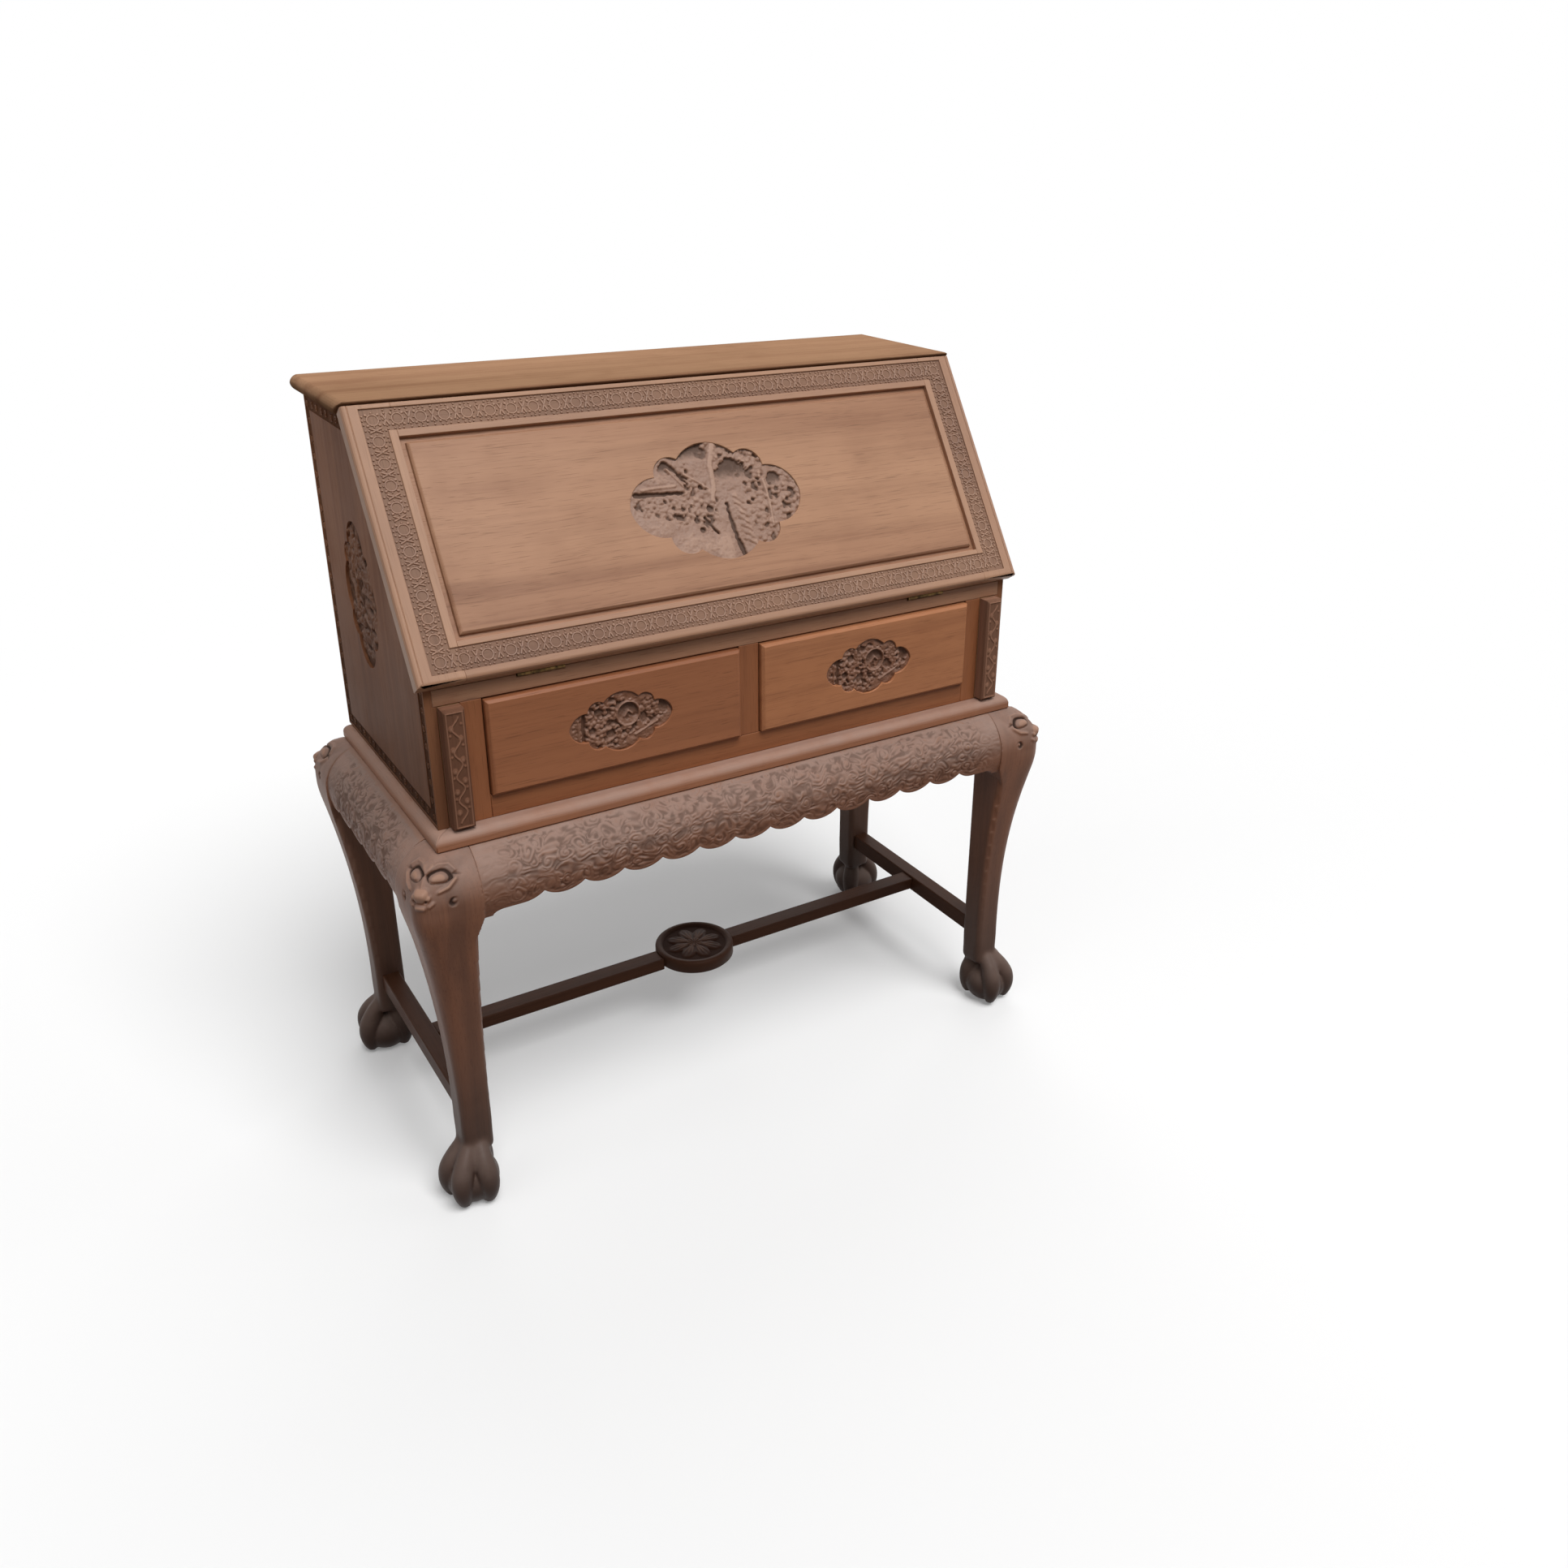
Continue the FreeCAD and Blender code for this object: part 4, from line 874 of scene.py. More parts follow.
def along(u: Array, v: Array, path: Sequence[Point]) -> tuple[Array, Array]:
    """Distance from a polyline, and how far along it the nearest place is.

    Args:
        u: First coordinate of the points.
        v: Second coordinate.
        path: Corners of the polyline.

    Returns:
        The distances, and the shares of its length from 0 to 1.
    """
    corners = np.array(path, float)
    lengths = np.hypot(*np.diff(corners, axis=0).T)
    starts = np.concatenate([[0.0], np.cumsum(lengths)])
    best, share = np.full(u.shape, np.inf), np.zeros(u.shape)
    for index, length in enumerate(lengths):
        (x0, y0), (x1, y1) = corners[index], corners[index + 1]
        step = np.clip(((u - x0) * (x1 - x0) + (v - y0) * (y1 - y0)) / length ** 2, 0.0, 1.0)
        distance = np.hypot(u - x0 - step * (x1 - x0), v - y0 - step * (y1 - y0))
        nearer = distance < best
        best = np.where(nearer, distance, best)
        share = np.where(nearer, (starts[index] + step * length) / starts[-1], share)
    return best, share


def beside(u: Array, v: Array, path: Sequence[Point], width: float, end: float) -> Array:
    """Distance from a polyline, in shares of a half width that tapers to a share of itself at the end."""
    distance, share = along(u, v, path)
    return distance / (width / 2 * (1.0 - (1.0 - end) * share))


def ridge(u: Array, v: Array, path: Sequence[Point], width: float, rise: float, end: float = 1.0) -> Array:
    """A rounded ridge along a polyline, whose width tapers to a share of itself at the end."""
    return rise * np.sqrt(np.clip(1.0 - beside(u, v, path, width, end) ** 2, 0.0, 1.0))


def swell(u: Array, v: Array, path: Sequence[Point], width: float, rise: float, end: float = 1.0) -> Array:
    """A soft fold along a polyline, without an edge, whose width tapers to a share of itself at the end."""
    return rise * ramp(1.0, 0.0, beside(u, v, path, width, end))


def dome(u: Array, v: Array, centre: Point, radii: Point, rise: float) -> Array:
    """A round swelling."""
    square = ((u - centre[0]) / radii[0]) ** 2 + ((v - centre[1]) / radii[1]) ** 2
    return rise * np.sqrt(np.clip(1.0 - square, 0.0, 1.0))


class Carving:
    """A carved field of heights over a rectangle, above its sunk ground."""

    def __init__(self, width: float, height: float, pitch: float) -> None:
        """Lay out a level field.

        Args:
            width: Size along the first axis.
            height: Size along the second axis.
            pitch: Distance between points.
        """
        self.u, self.v = np.meshgrid(
            np.linspace(-width / 2, width / 2, round(width / pitch) + 1),
            np.linspace(-height / 2, height / 2, round(height / pitch) + 1))
        self.h = np.zeros_like(self.u)

    def about(self, centre: Point, radii: Point) -> tuple[Array, Array]:
        """Each point's place from a middle, in shares of two radii."""
        return (self.u - centre[0]) / radii[0], (self.v - centre[1]) / radii[1]

    def mottle(self, scale: float, seed: int) -> Array:
        """Smooth noise from 0 to 1 over the field, which changes over about one scale."""
        return speckle(self.u / scale, self.v / scale, seed)

    def lay(self, form: Array) -> None:
        """Raise the field to a form where that stands higher."""
        self.h = np.maximum(self.h, form)

    def rock(self, centre: Point, radii: Point, rise: float, seed: int) -> None:
        """A faceted lump of rock.

        Args:
            centre: Its middle.
            radii: Its half width and half height.
            rise: How high it stands.
            seed: Sets its facets.
        """
        dice, facets = np.random.default_rng(seed), 9
        x, y = self.about(centre, radii)
        lump = np.full(self.u.shape, 1.0) + 0.25 * dice.uniform(-1, 1) * x
        for index in range(facets):
            angle = FULL_TURN * (index + dice.uniform(-0.3, 0.3)) / facets
            slope = dice.uniform(0.9, 2.2)
            lump = np.minimum(lump, slope * (1.0 - x * math.cos(angle) - y * math.sin(angle)))
        crease = 0.12 * np.abs(np.sin(5.0 * x + 3.0 * y + seed))
        self.lay(rise * np.clip(lump - crease, 0.0, 1.0))

    def wheel(self, centre: Point, radius: float, rise: float) -> None:
        """A round tuft of needles, cut with lines from its middle.

        Args:
            centre: Its middle.
            radius: Its radius.
            rise: How high it stands.
        """
        x, y = self.u - centre[0], self.v - centre[1]
        reach = np.hypot(x, y) / radius
        needles = 0.72 + 0.28 * np.cos(13 * np.arctan2(y, x))
        body = np.clip(1.0 - reach ** 4, 0.0, 1.0) * needles
        hub = 1.05 * np.clip(1.0 - (reach / 0.22) ** 2, 0.0, 1.0)
        self.lay(np.where(reach < 1.0, rise * np.maximum(body, hub), 0.0))

    def tree(self, trunk: Sequence[Point], width: float, rise: float, tufts: Sequence[Vec]) -> None:
        """A pine with a bent trunk.

        Args:
            trunk: The trunk's line.
            width: The trunk's width.
            rise: How high the tree stands.
            tufts: Its tufts, each at (across, up, radius).
        """
        for index, (x, y, radius) in enumerate(tufts):
            near = min(trunk, key=lambda spot: math.hypot(spot[0] - x, spot[1] - y))
            self.lay(ridge(self.u, self.v, [near, (x, y)], width * 0.5, rise * 0.7, 0.6))
            self.wheel((x, y), radius, rise * (0.86 + 0.05 * (index % 3)))
        bark = 0.9 + 0.1 * np.sin(self.v / (1.4 * MM) + 2 * np.sin(self.u / (1.1 * MM)))
        self.lay(ridge(self.u, self.v, trunk, width, rise * 1.05, 0.5) * bark)

    def house(self, foot: Point, width: float, height: float, rise: float) -> None:
        """A small open pavilion with an upturned tiled roof.

        Args:
            foot: The middle of its floor.
            width: Its width.
            height: Its height up the field.
            rise: How high it stands.
        """
        x, y = (self.u - foot[0]) / (width / 2), (self.v - foot[1]) / height
        eave = 0.56 + 0.12 * np.abs(x) ** 3
        crest = 0.98 - 0.18 * x ** 2
        roof = (np.abs(x) < 1.0 - 0.55 * ramp(0.56, 1.0, y)) & (y > eave) & (y < crest)
        tiles = 0.80 + 0.20 * np.cos(x * 26.0) + 0.25 * (eave + 0.09 - y > 0)
        self.lay(np.where(roof, rise * tiles, 0.0))
        walls = (np.abs(x) < 0.72) & (y > 0.08) & (y <= eave)
        posts = np.abs(np.abs(x) % 0.46 - 0.23) > 0.17
        self.lay(np.where(walls, np.where(posts | (y < 0.2), rise * 0.72, rise * 0.18), 0.0))
        self.lay(np.where((np.abs(x) < 0.9) & (y > -0.06) & (y <= 0.08), rise * 0.85, 0.0))

    def water(self, level: float, rise: float, step: float) -> None:
        """Overlapping ripples.

        Args:
            level: Where the water ends.
            rise: How high the ripples stand.
            step: Distance between them.
        """
        line = np.floor(self.v / step)
        x = (self.u / (2.4 * step) + 0.5 * (line % 2)) % 1.0 - 0.5
        y = self.v / step - line
        arcs = np.hypot(x * 2.0, y)
        form = rise * (0.55 + 0.45 * np.cos(arcs * FULL_TURN * 2.0))
        self.lay(form * ramp(level, level - 2 * step, self.v))

    def limb(self, path: Sequence[Point], width: float, rise: float, end: float = 1.0) -> None:
        """A rounded limb, beam or stem along a path."""
        self.lay(ridge(self.u, self.v, path, width, rise, end))

    def leaves(self, centre: Point, radii: Point, rise: float, size: float, seed: int, gaps: float) -> None:
        """A mass of small leaves within a ragged oval, with deep gaps among them.

        Args:
            centre: The oval's middle.
            radii: Its half width and half height.
            rise: How high the leaves stand.
            size: A leaf's size.
            seed: Sets where the leaves lie.
            gaps: Share of leaves that are left low.
        """
        away, own = cells(self.u / size, self.v / size, seed)
        bumps = (0.46 + 0.54 * np.sqrt(np.clip(1.0 - (away / 0.76) ** 2, 0.0, 1.0))) * (0.62 + 0.38 * own)
        bumps *= np.where(own < gaps, 0.35, 1.0)
        x, y = self.about(centre, radii)
        ragged = 0.7 * (self.mottle(1.6 * size, seed + 1) - 0.5)
        inside = ramp(1.05, 0.90, x * x + y * y + ragged)
        self.h = self.h * (1.0 - inside) + rise * bumps * inside

    def mound(self, centre: Point, radii: Point, rise: float) -> None:
        """A soft rise of ground."""
        x, y = self.about(centre, radii)
        self.lay(rise * ramp(1.3, 0.0, x * x + y * y))

    def pocket(self, centre: Point, radii: Point, low: float, high: float, seed: int) -> None:
        """Cut a ragged hollow whose floor climbs from its upper edge to its lower one.

        Args:
            centre: Its middle.
            radii: Its half width and half height.
            low: Height of its floor at the upper edge.
            high: Height of its floor at the lower edge.
            seed: Sets its ragged edge.
        """
        x, y = self.about(centre, radii)
        ragged = 0.5 * (self.mottle(7 * MM, seed) - 0.5)
        ragged += 0.5 * (self.mottle(2.6 * MM, seed) - 0.5)
        floor = low + (high - low) * ramp(0.9, -1.0, y)
        self.h = np.where(x * x + y * y + ragged < 1.0, np.minimum(self.h, floor), self.h)

    def score(self, path: Sequence[Point], width: float, depth: float, end: float = 1.0) -> None:
        """Cut an uneven groove.

        Args:
            path: The groove's line.
            width: Its width.
            depth: Its depth.
            end: Share of its width that is left at its end.
        """
        stray = [2.6 * MM * (self.mottle(5 * MM, seed) - 0.5) for seed in (1, 2)]
        groove = ridge(self.u + stray[0], self.v + stray[1], path, width, depth, end)
        self.h = np.maximum(self.h - groove, 0.0)

    def worn(self, times: int) -> None:
        """Soften every edge by evening out neighbouring heights.

        Args:
            times: How often.
        """
        for _ in range(times):
            wide = np.pad(self.h, 1, mode="edge")
            around = wide[:-2, 1:-1] + wide[2:, 1:-1] + wide[1:-1, :-2] + wide[1:-1, 2:]
            self.h = self.h / 2 + around / 8

    def gouged(self, depth: float, scale: float, seed: int) -> None:
        """Tool marks all over."""
        self.h = self.h + depth * (self.mottle(scale, seed) - 0.5)

    def slab(self, name: str, base: float, place: Matrix, top: float) -> Mesh:
        """A closed block with the field on its top.

        Args:
            name: The mesh's name.
            base: Height of its flat underside.
            place: From the field's flat plane to the bureau.
            top: The height that counts as fully raised.

        Returns:
            The mesh, with its relief stored.
        """
        rows, columns = self.h.shape
        upper = np.stack([self.u, self.v, self.h], -1).reshape(-1, 3)
        number = np.arange(rows * columns).reshape(rows, columns)
        quads = np.stack([number[:-1, :-1], number[:-1, 1:], number[1:, 1:], number[1:, :-1]], -1)
        rim = np.concatenate([number[0, :-1], number[:-1, -1], number[-1, :0:-1], number[:0:-1, 0]])
        lower = upper[rim] * (1, 1, 0) + (0, 0, base)
        below = np.arange(len(rim)) + len(upper)
        walls = np.stack([rim, below, np.roll(below, -1), np.roll(rim, -1)], -1)
        faces = quads.reshape(-1, 4).tolist() + walls.tolist() + [below[::-1].tolist()]
        mesh = mesh_of(name, np.concatenate([upper, lower]), faces)
        mesh.transform(place)
        store(mesh, RELIEF, np.clip(np.concatenate([self.h.ravel(), np.zeros(len(rim))]) / top, 0.0, 1.0))
        return mesh


class Scene(Enum):
    """Which landscape a carved recess holds."""

    LAKE = "lake"
    GARDEN = "garden"
    HILLS = "hills"


@dataclass
class Recess:
    """A carved landscape let into a lobed recess.

    Attributes:
        name: The piece's name.
        node: The CAD piece that is recessed.
        width: Width of the recess.
        height: Height of the recess.
        depth: Depth of the recess.
        place: From the recess floor, facing out, to the bureau.
        scene: The landscape.
        pitch: Distance between carved points.
        seed: Sets the tool marks and rocks.
        sunk: How far the carving's block reaches below the recess floor.
        shy: How far its highest places stay below the recess's rim.
        least: Height of its lowest ground.
        lee: How much less raised a place counts in the lee of what stands above it, which paints shade there.
        TOOL_MARKS: Depth, scale and shift of the seed of each round of tool marks.
        SHADE_STEPS: How many points away the lee is looked for; SHADE_SLOPES the slopes over which its painted
            shade deepens.
    """

    name: str
    node: str
    width: float
    height: float
    depth: float
    place: Matrix
    scene: Scene
    pitch: float
    seed: int
    sunk: float = 2.0 * MM
    shy: float = 0.4 * MM
    least: float = 0.35 * MM
    lee: float = 0.9
    softenings: int = 4

    TOOL_MARKS = ((0.9 * MM, 5.0 * MM, 7), (0.6 * MM, 2.2 * MM, 0))
    SHADE_STEPS = (2, 4, 6, 8, 12)
    SHADE_SLOPES = (0.45, 1.50)

    def build(self, finish: WoodFinish) -> None:
        """Carve the landscape and set it in the recess.

        Args:
            finish: The wood that it is carved in.
        """
        carve = Carving(self.width, self.height, self.pitch)
        {Scene.LAKE: self._lake, Scene.GARDEN: self._garden, Scene.HILLS: self._hills}[self.scene](carve)
        carve.worn(self.softenings)
        for depth, scale, shift in self.TOOL_MARKS:
            carve.gouged(depth, scale, self.seed + shift)
        carve.h = np.clip(carve.h, self.least, self.depth - self.shy)
        mesh = carve.slab(self.name, -self.sunk, self.place, self.depth)
        relief = np.zeros(len(mesh.vertices))
        # Places in the lee of taller forms count as less raised, so that painted shade darkens them.
        relief[:carve.h.size] = (carve.h / self.depth * (1.0 - self.lee * self._sheltered(carve))).ravel()
        store(mesh, RELIEF, relief)
        seat(new_piece(self.name, mesh), replace(finish, carved=True), NODE_BODY[self.node])

    def _sheltered(self, carve: Carving) -> Array:
        """How deep the painted shade is at each point, in the lee of what stands up above it, the recess's edge
        included.

        Args:
            carve: The carved field.

        Returns:
            Shares from 0 in the open to 1 in a corner.
        """
        source = frame["nodes"][self.node].data
        solid = BVHTree.FromPolygons([v.co for v in source.vertices], [p.vertices for p in source.polygons])
        down = -self.place.to_3x3().col[2]
        above = self.depth + self.sunk
        spots = np.stack([carve.u, carve.v, np.full(carve.u.shape, above)], -1).reshape(-1, 3)
        spots = spots @ np.array(self.place.to_3x3()).T + np.array(self.place.translation)
        drops = [solid.ray_cast(Vector(spot), down)[3] or 0.0 for spot in spots]
        edge = np.array(drops).reshape(carve.u.shape) < above - self.depth / 2
        height = np.where(edge, self.depth, carve.h)
        steep = np.zeros(height.shape)
        for step in self.SHADE_STEPS:
            aside = step // 2
            climb = (height[step:, aside:] - height[:-step, :-aside]) / (math.hypot(step, aside) * self.pitch)
            steep[:-step, :-aside] = np.maximum(steep[:-step, :-aside], climb)
        return ramp(*self.SHADE_SLOPES, steep)

    def _spot(self, spot: Point) -> Point:
        """A place given in shares of the recess, from its middle to its edges."""
        return (spot[0] * self.width / 2, spot[1] * self.height / 2)

    def _path(self, *spots: Point) -> list[Point]:
        """A path given in shares of the recess."""
        return [self._spot(spot) for spot in spots]

    def _masses(self, carve: Carving, masses: Sequence[tuple], size: float, gaps: float = 0.13) -> None:
        """Masses of leaves at (across, up, half width, half height, rise), in shares of the recess."""
        for index, (x, y, wide, tall, share) in enumerate(masses):
            carve.leaves(self._spot((x, y)), self._spot((wide, tall)), self.depth * share, size,
                         self.seed + 3 * index, gaps)

    def _lake(self, carve: Carving) -> None:
        """A roof among trees over smooth ground, with hollows of open sky between the trunks.

        Args:
            carve: The field.
        """
        h, rise = self.height / 2, self.depth
        rolling = speckle(carve.u / (16 * MM), carve.v / (11 * MM), self.seed)
        carve.lay(rise * (0.56 + 0.26 * rolling))
        for x, y, wide, tall, share in ((-0.36, -0.72, 0.55, 0.46, 0.90), (-0.06, -0.80, 0.22, 0.60, 0.94),
                                        (-0.74, -0.30, 0.36, 0.36, 0.84), (-0.62, 0.46, 0.30, 0.20, 0.86)):
            carve.mound(self._spot((x, y)), self._spot((wide, tall)), rise * share)
        self._masses(carve, ((-0.20, -0.04, 0.20, 0.42, 0.98), (0.79, -0.06, 0.20, 0.40, 0.96),
                             (0.48, -0.48, 0.14, 0.44, 0.92), (0.20, 0.88, 0.34, 0.22, 0.98),
                             (0.44, 0.56, 0.22, 0.32, 0.98), (0.46, 0.04, 0.14, 0.26, 0.92),
                             (-0.30, 0.48, 0.11, 0.20, 0.88)), 6.2 * MM)
        self._masses(carve, ((-0.68, 0.02, 0.30, 0.18, 0.88), (-0.44, -0.16, 0.20, 0.18, 0.90)),
                     4.6 * MM, 0.08)
        for x, y, wide, tall, high in ((-0.49, 0.63, 0.08, 0.11, 0.5), (-0.14, 0.80, 0.18, 0.22, 0.8),
                                       (0.265, 0.36, 0.20, 0.32, 1.0), (0.73, 0.24, 0.08, 0.13, 0.5),
                                       (-0.48, -0.20, 0.035, 0.05, 0.3), (-0.11, -0.12, 0.04, 0.06, 0.3),
                                       (-0.29, -0.29, 0.03, 0.05, 0.3), (-0.26, -0.45, 0.03, 0.05, 0.3)):
            carve.pocket(self._spot((x, y)), self._spot((wide, tall)), 0.0, rise * high, self.seed)
        carve.score(self._path((-0.90, 0.25), (-0.62, 0.235), (-0.36, 0.20)), 7.5 * MM, rise * 0.95, 0.4)
        carve.limb(self._path((-0.82, 0.33), (-0.44, 0.33)), 0.085 * h, rise)
        carve.score(self._path((-0.42, 0.65), (-0.29, 0.33)), 4.6 * MM, rise * 0.9, 0.6)
        carve.limb(self._path((-0.48, 0.62), (-0.34, 0.30)), 0.07 * h, rise * 0.95, 0.7)
        carve.limb(self._path((0.11, 0.92), (0.02, 0.60), (0.0, 0.25), (-0.06, 0.02)), 0.17 * h, rise, 0.8)
        carve.limb(self._path((-0.30, 0.50), (-0.16, 0.34), (-0.04, 0.18)), 0.08 * h, rise * 0.95, 0.7)
        carve.limb(self._path((0.60, 0.26), (0.60, -0.09), (0.57, -0.54)), 0.085 * h, rise, 0.8)
        carve.limb(self._path((0.21, 0.05), (0.30, -0.86)), 0.24 * h, rise * 0.92)
        carve.score(self._path((0.14, -0.96), (0.11, -0.66), (0.10, -0.35), (0.094, -0.06)),
                    7.0 * MM, rise * 0.95, 0.5)
        for step in range(7):
            level = 0.02 - 0.12 * step
            carve.score(self._path((0.19, level), (0.30, level - 0.14)), 3.2 * MM, rise * 0.22)
        carve.score(self._path((-0.20, -0.27), (-0.09, -0.55)), 5.4 * MM, rise * 0.85, 0.5)

    def _garden(self, carve: Carving) -> None:
        """A round opening among thick leaves, with a post at the left.

        Args:
            carve: The field.
        """
        rise = self.depth
        carve.lay(rise * (0.50 + 0.24 * carve.mottle(8 * MM, self.seed)))
        self._masses(carve, ((-0.22, 0.0, 0.62, 0.92, 0.95), (0.62, 0.10, 0.30, 0.55, 0.90),
                             (-0.80, 0.0, 0.14, 0.40, 0.76)), 5.0 * MM)
        turns = np.linspace(0.0, FULL_TURN, 25)
        opening = self._path(*[(0.13 + 0.22 * math.cos(a), 0.20 + 0.42 * math.sin(a)) for a in turns])
        carve.pocket(self._spot((0.13, 0.20)), self._spot((0.22, 0.42)), 0.0, rise * 0.6, self.seed)
        carve.limb(opening, 3.4 * MM, rise * 0.96)
        carve.limb(self._path((0.06, 0.10), (0.14, 0.30), (0.22, 0.16)), 3.0 * MM, rise * 0.8)
        carve.limb(self._path((0.26, -0.60), (0.70, -0.26)), 5.0 * MM, rise * 0.95, 0.7)
        carve.limb(self._path((-0.82, 0.28), (-0.82, -0.42)), 4.0 * MM, rise * 0.92)
        carve.score(self._path((-0.72, 0.40), (-0.72, -0.55)), 4.2 * MM, rise * 0.95)
        for x, y, wide, tall in ((0.84, 0.22, 0.10, 0.30), (-0.42, 0.40, 0.08, 0.16),
                                 (-0.20, -0.40, 0.08, 0.16), (0.44, -0.06, 0.07, 0.20),
                                 (-0.56, -0.20, 0.06, 0.14)):
            carve.pocket(self._spot((x, y)), self._spot((wide, tall)), 0.0, rise * 0.3, self.seed + 1)

    def _hills(self, carve: Carving) -> None:
        """Steep rocks with pines one above the other, a path and a pavilion, for an upright recess.

        Args:
            carve: The field.
        """
        w, h, rise = self.width / 2, self.height / 2, self.depth
        carve.lay(rise * (0.24 + 0.16 * carve.mottle(8 * MM, self.seed)))
        carve.water(-0.62 * h, rise * 0.34, 0.05 * h)
        self._masses(carve, ((-0.30, 0.52, 0.50, 0.34, 0.92), (0.40, 0.40, 0.42, 0.28, 0.86),
                             (-0.40, -0.30, 0.40, 0.24, 0.84), (0.50, -0.30, 0.36, 0.24, 0.86),
                             (0.0, -0.66, 0.50, 0.20, 0.80)), 8.0 * MM, 0.24)
        carve.house((0.28 * w, 0.06 * h), 0.66 * w, 0.34 * h, rise * 0.84)
        carve.house((-0.34 * w, -0.42 * h), 0.52 * w, 0.26 * h, rise * 0.74)
        for index, (x, y, wide, tall, share) in enumerate((
                (0.26, -0.10, 0.40, 0.16, 0.8), (-0.10, -0.60, 0.40, 0.18, 0.9),
                (0.36, -0.46, 0.30, 0.20, 0.82), (-0.50, -0.16, 0.24, 0.22, 0.8),
                (-0.06, -0.82, 0.26, 0.10, 0.7), (0.62, 0.02, 0.22, 0.16, 0.7),
                (-0.62, 0.10, 0.20, 0.14, 0.7), (0.10, -0.30, 0.30, 0.12, 0.7))):
            carve.rock((x * w, y * h), (wide * w, tall * h), rise * share, self.seed + index)
        upper = ((-0.34, -0.10), (-0.26, 0.16), (-0.40, 0.38), (-0.16, 0.60))
        high_tufts = ((-0.62, 0.34, 0.11), (-0.50, 0.50, 0.12), (-0.26, 0.70, 0.13), (0.06, 0.66, 0.12),
                      (0.0, 0.46, 0.11), (-0.08, 0.28, 0.10), (0.22, 0.52, 0.10), (0.06, 0.84, 0.09),
                      (-0.58, 0.20, 0.09))
        lower = ((0.40, -0.40), (0.46, -0.24), (0.36, -0.12))
        low_tufts = ((0.62, -0.26, 0.09), (0.22, -0.18, 0.09), (0.50, -0.06, 0.09))
        for trunk, width, share, tufts in ((upper, 0.07, 0.9, high_tufts), (lower, 0.05, 0.85, low_tufts)):
            tufts = [(x * w, y * h, radius * h) for x, y, radius in tufts]
            carve.tree(self._path(*trunk), width * h, rise * share, tufts)
        for x, y, wide, tall in ((0.26, 0.66, 0.12, 0.06), (0.46, -0.14, 0.14, 0.06),
                                 (0.50, -0.42, 0.18, 0.05), (-0.20, -0.16, 0.08, 0.04)):
            carve.pocket((x * w, y * h), (wide * w, tall * h), rise * 0.1, rise * 0.6, self.seed)
        carve.limb(self._path((-0.62, 0.22), (-0.44, 0.04), (-0.30, -0.20)), 0.07 * h, rise, 0.6)
        carve.limb(self._path((0.0, -0.28), (0.40, -0.38)), 0.06 * h, rise, 0.7)
        carve.limb(self._path((-0.10, 0.74), (0.02, 0.56)), 0.07 * h, rise, 0.8)


# Bands of repeated motifs


class Motif(Enum):
    """What repeats along a carved band: rings and crossed links, or running scrolls."""

    RINGS = "rings"
    SCROLLS = "scrolls"


def ring_jig() -> Jig:
    """The tree for a band of rings among beads, with a crossed link between each two.

    Returns:
        The tree; its sizes are shares of a ring's radius, a strap's width and its rise.
    """
    jig = Jig("carved_rings", ("Size", "Strap", "Rise"))
    size, strap, rise = jig.given("Size"), jig.given("Strap"), jig.given("Rise")

    def beads(spots: Sequence[Point], share: float = 0.52) -> list[Value]:
        """Beads at places given in shares of the ring's radius."""
        return [jig.boss(strap * share, rise * 0.85, (size * x, size * y, 0.0)) for x, y in spots]

    circle = jig.node("GeometryNodeCurvePrimitiveCircle", None, {"Resolution": 16, "Radius": size * 0.88})
    edge = [(x, y * (1.58 - 0.14 * abs(x))) for x in (-0.66, 0.0, 0.66) for y in (1, -1)]
    leaf = [(x, y) for x in (-0.86, 0.86) for y in (-0.92, 0.92)]
    crown = [(1.12 * math.cos(a), 1.12 * math.sin(a)) for a in np.arange(8) * math.pi / 4]
    ring = jig.joined([jig.strap(circle, strap * 0.8, rise * 0.62)] + beads(edge) + beads(leaf, 0.7)
                      + beads(crown, 0.46))
    bars = []
    for hand in (1, -1):
        ends = [jig.join(size * -0.40 * way, size * 0.95 * way * hand, 0.0) for way in (1, -1)]
        line = jig.node("GeometryNodeCurvePrimitiveLine", None, {"Start": ends[0], "End": ends[1]})
        bars.append(jig.strap(line, strap * 0.85, rise * 0.9))
    link = jig.joined(bars + beads([(0.0, 1.0), (0.0, -1.0), (0.0, 1.52), (0.0, -1.52)]))
    return jig.close([jig.planted(ring, 0.0), jig.planted(link, 1.0)])


def scroll_jig() -> Jig:
    """The tree for a band of running scrolls, each turned over from the last.

    Returns:
        The tree; its sizes are shares of a scroll's radius, a strap's width and its rise.
    """
    jig = Jig("carved_scrolls", ("Size", "Strap", "Rise"))
    size, strap, rise = jig.given("Size"), jig.given("Strap"), jig.given("Rise")
    coil = jig.node("GeometryNodeCurveSpiral", None, {
        "Resolution": 14, "Rotations": 1.4, "Height": 0.0,
        "Start Radius": size * 0.22, "End Radius": size * 0.95})
    ends = [jig.join(size * x, size * y, 0.0) for x, y in ((-0.75, -0.60), (0.0, -1.15), (1.1, -0.55))]
    tail = jig.node("GeometryNodeCurveQuadraticBezier", None,
                    {"Resolution": 8, "Start": ends[0], "Middle": ends[1], "End": ends[2]})
    bead = jig.boss(strap * 0.6, rise, (size * 1.15, size * 0.75, 0.0))
    scroll = jig.joined([jig.strap(coil, strap, rise), jig.strap(tail, strap * 0.9, rise * 0.9), bead])
    return jig.close([jig.planted(scroll, 0.0)])


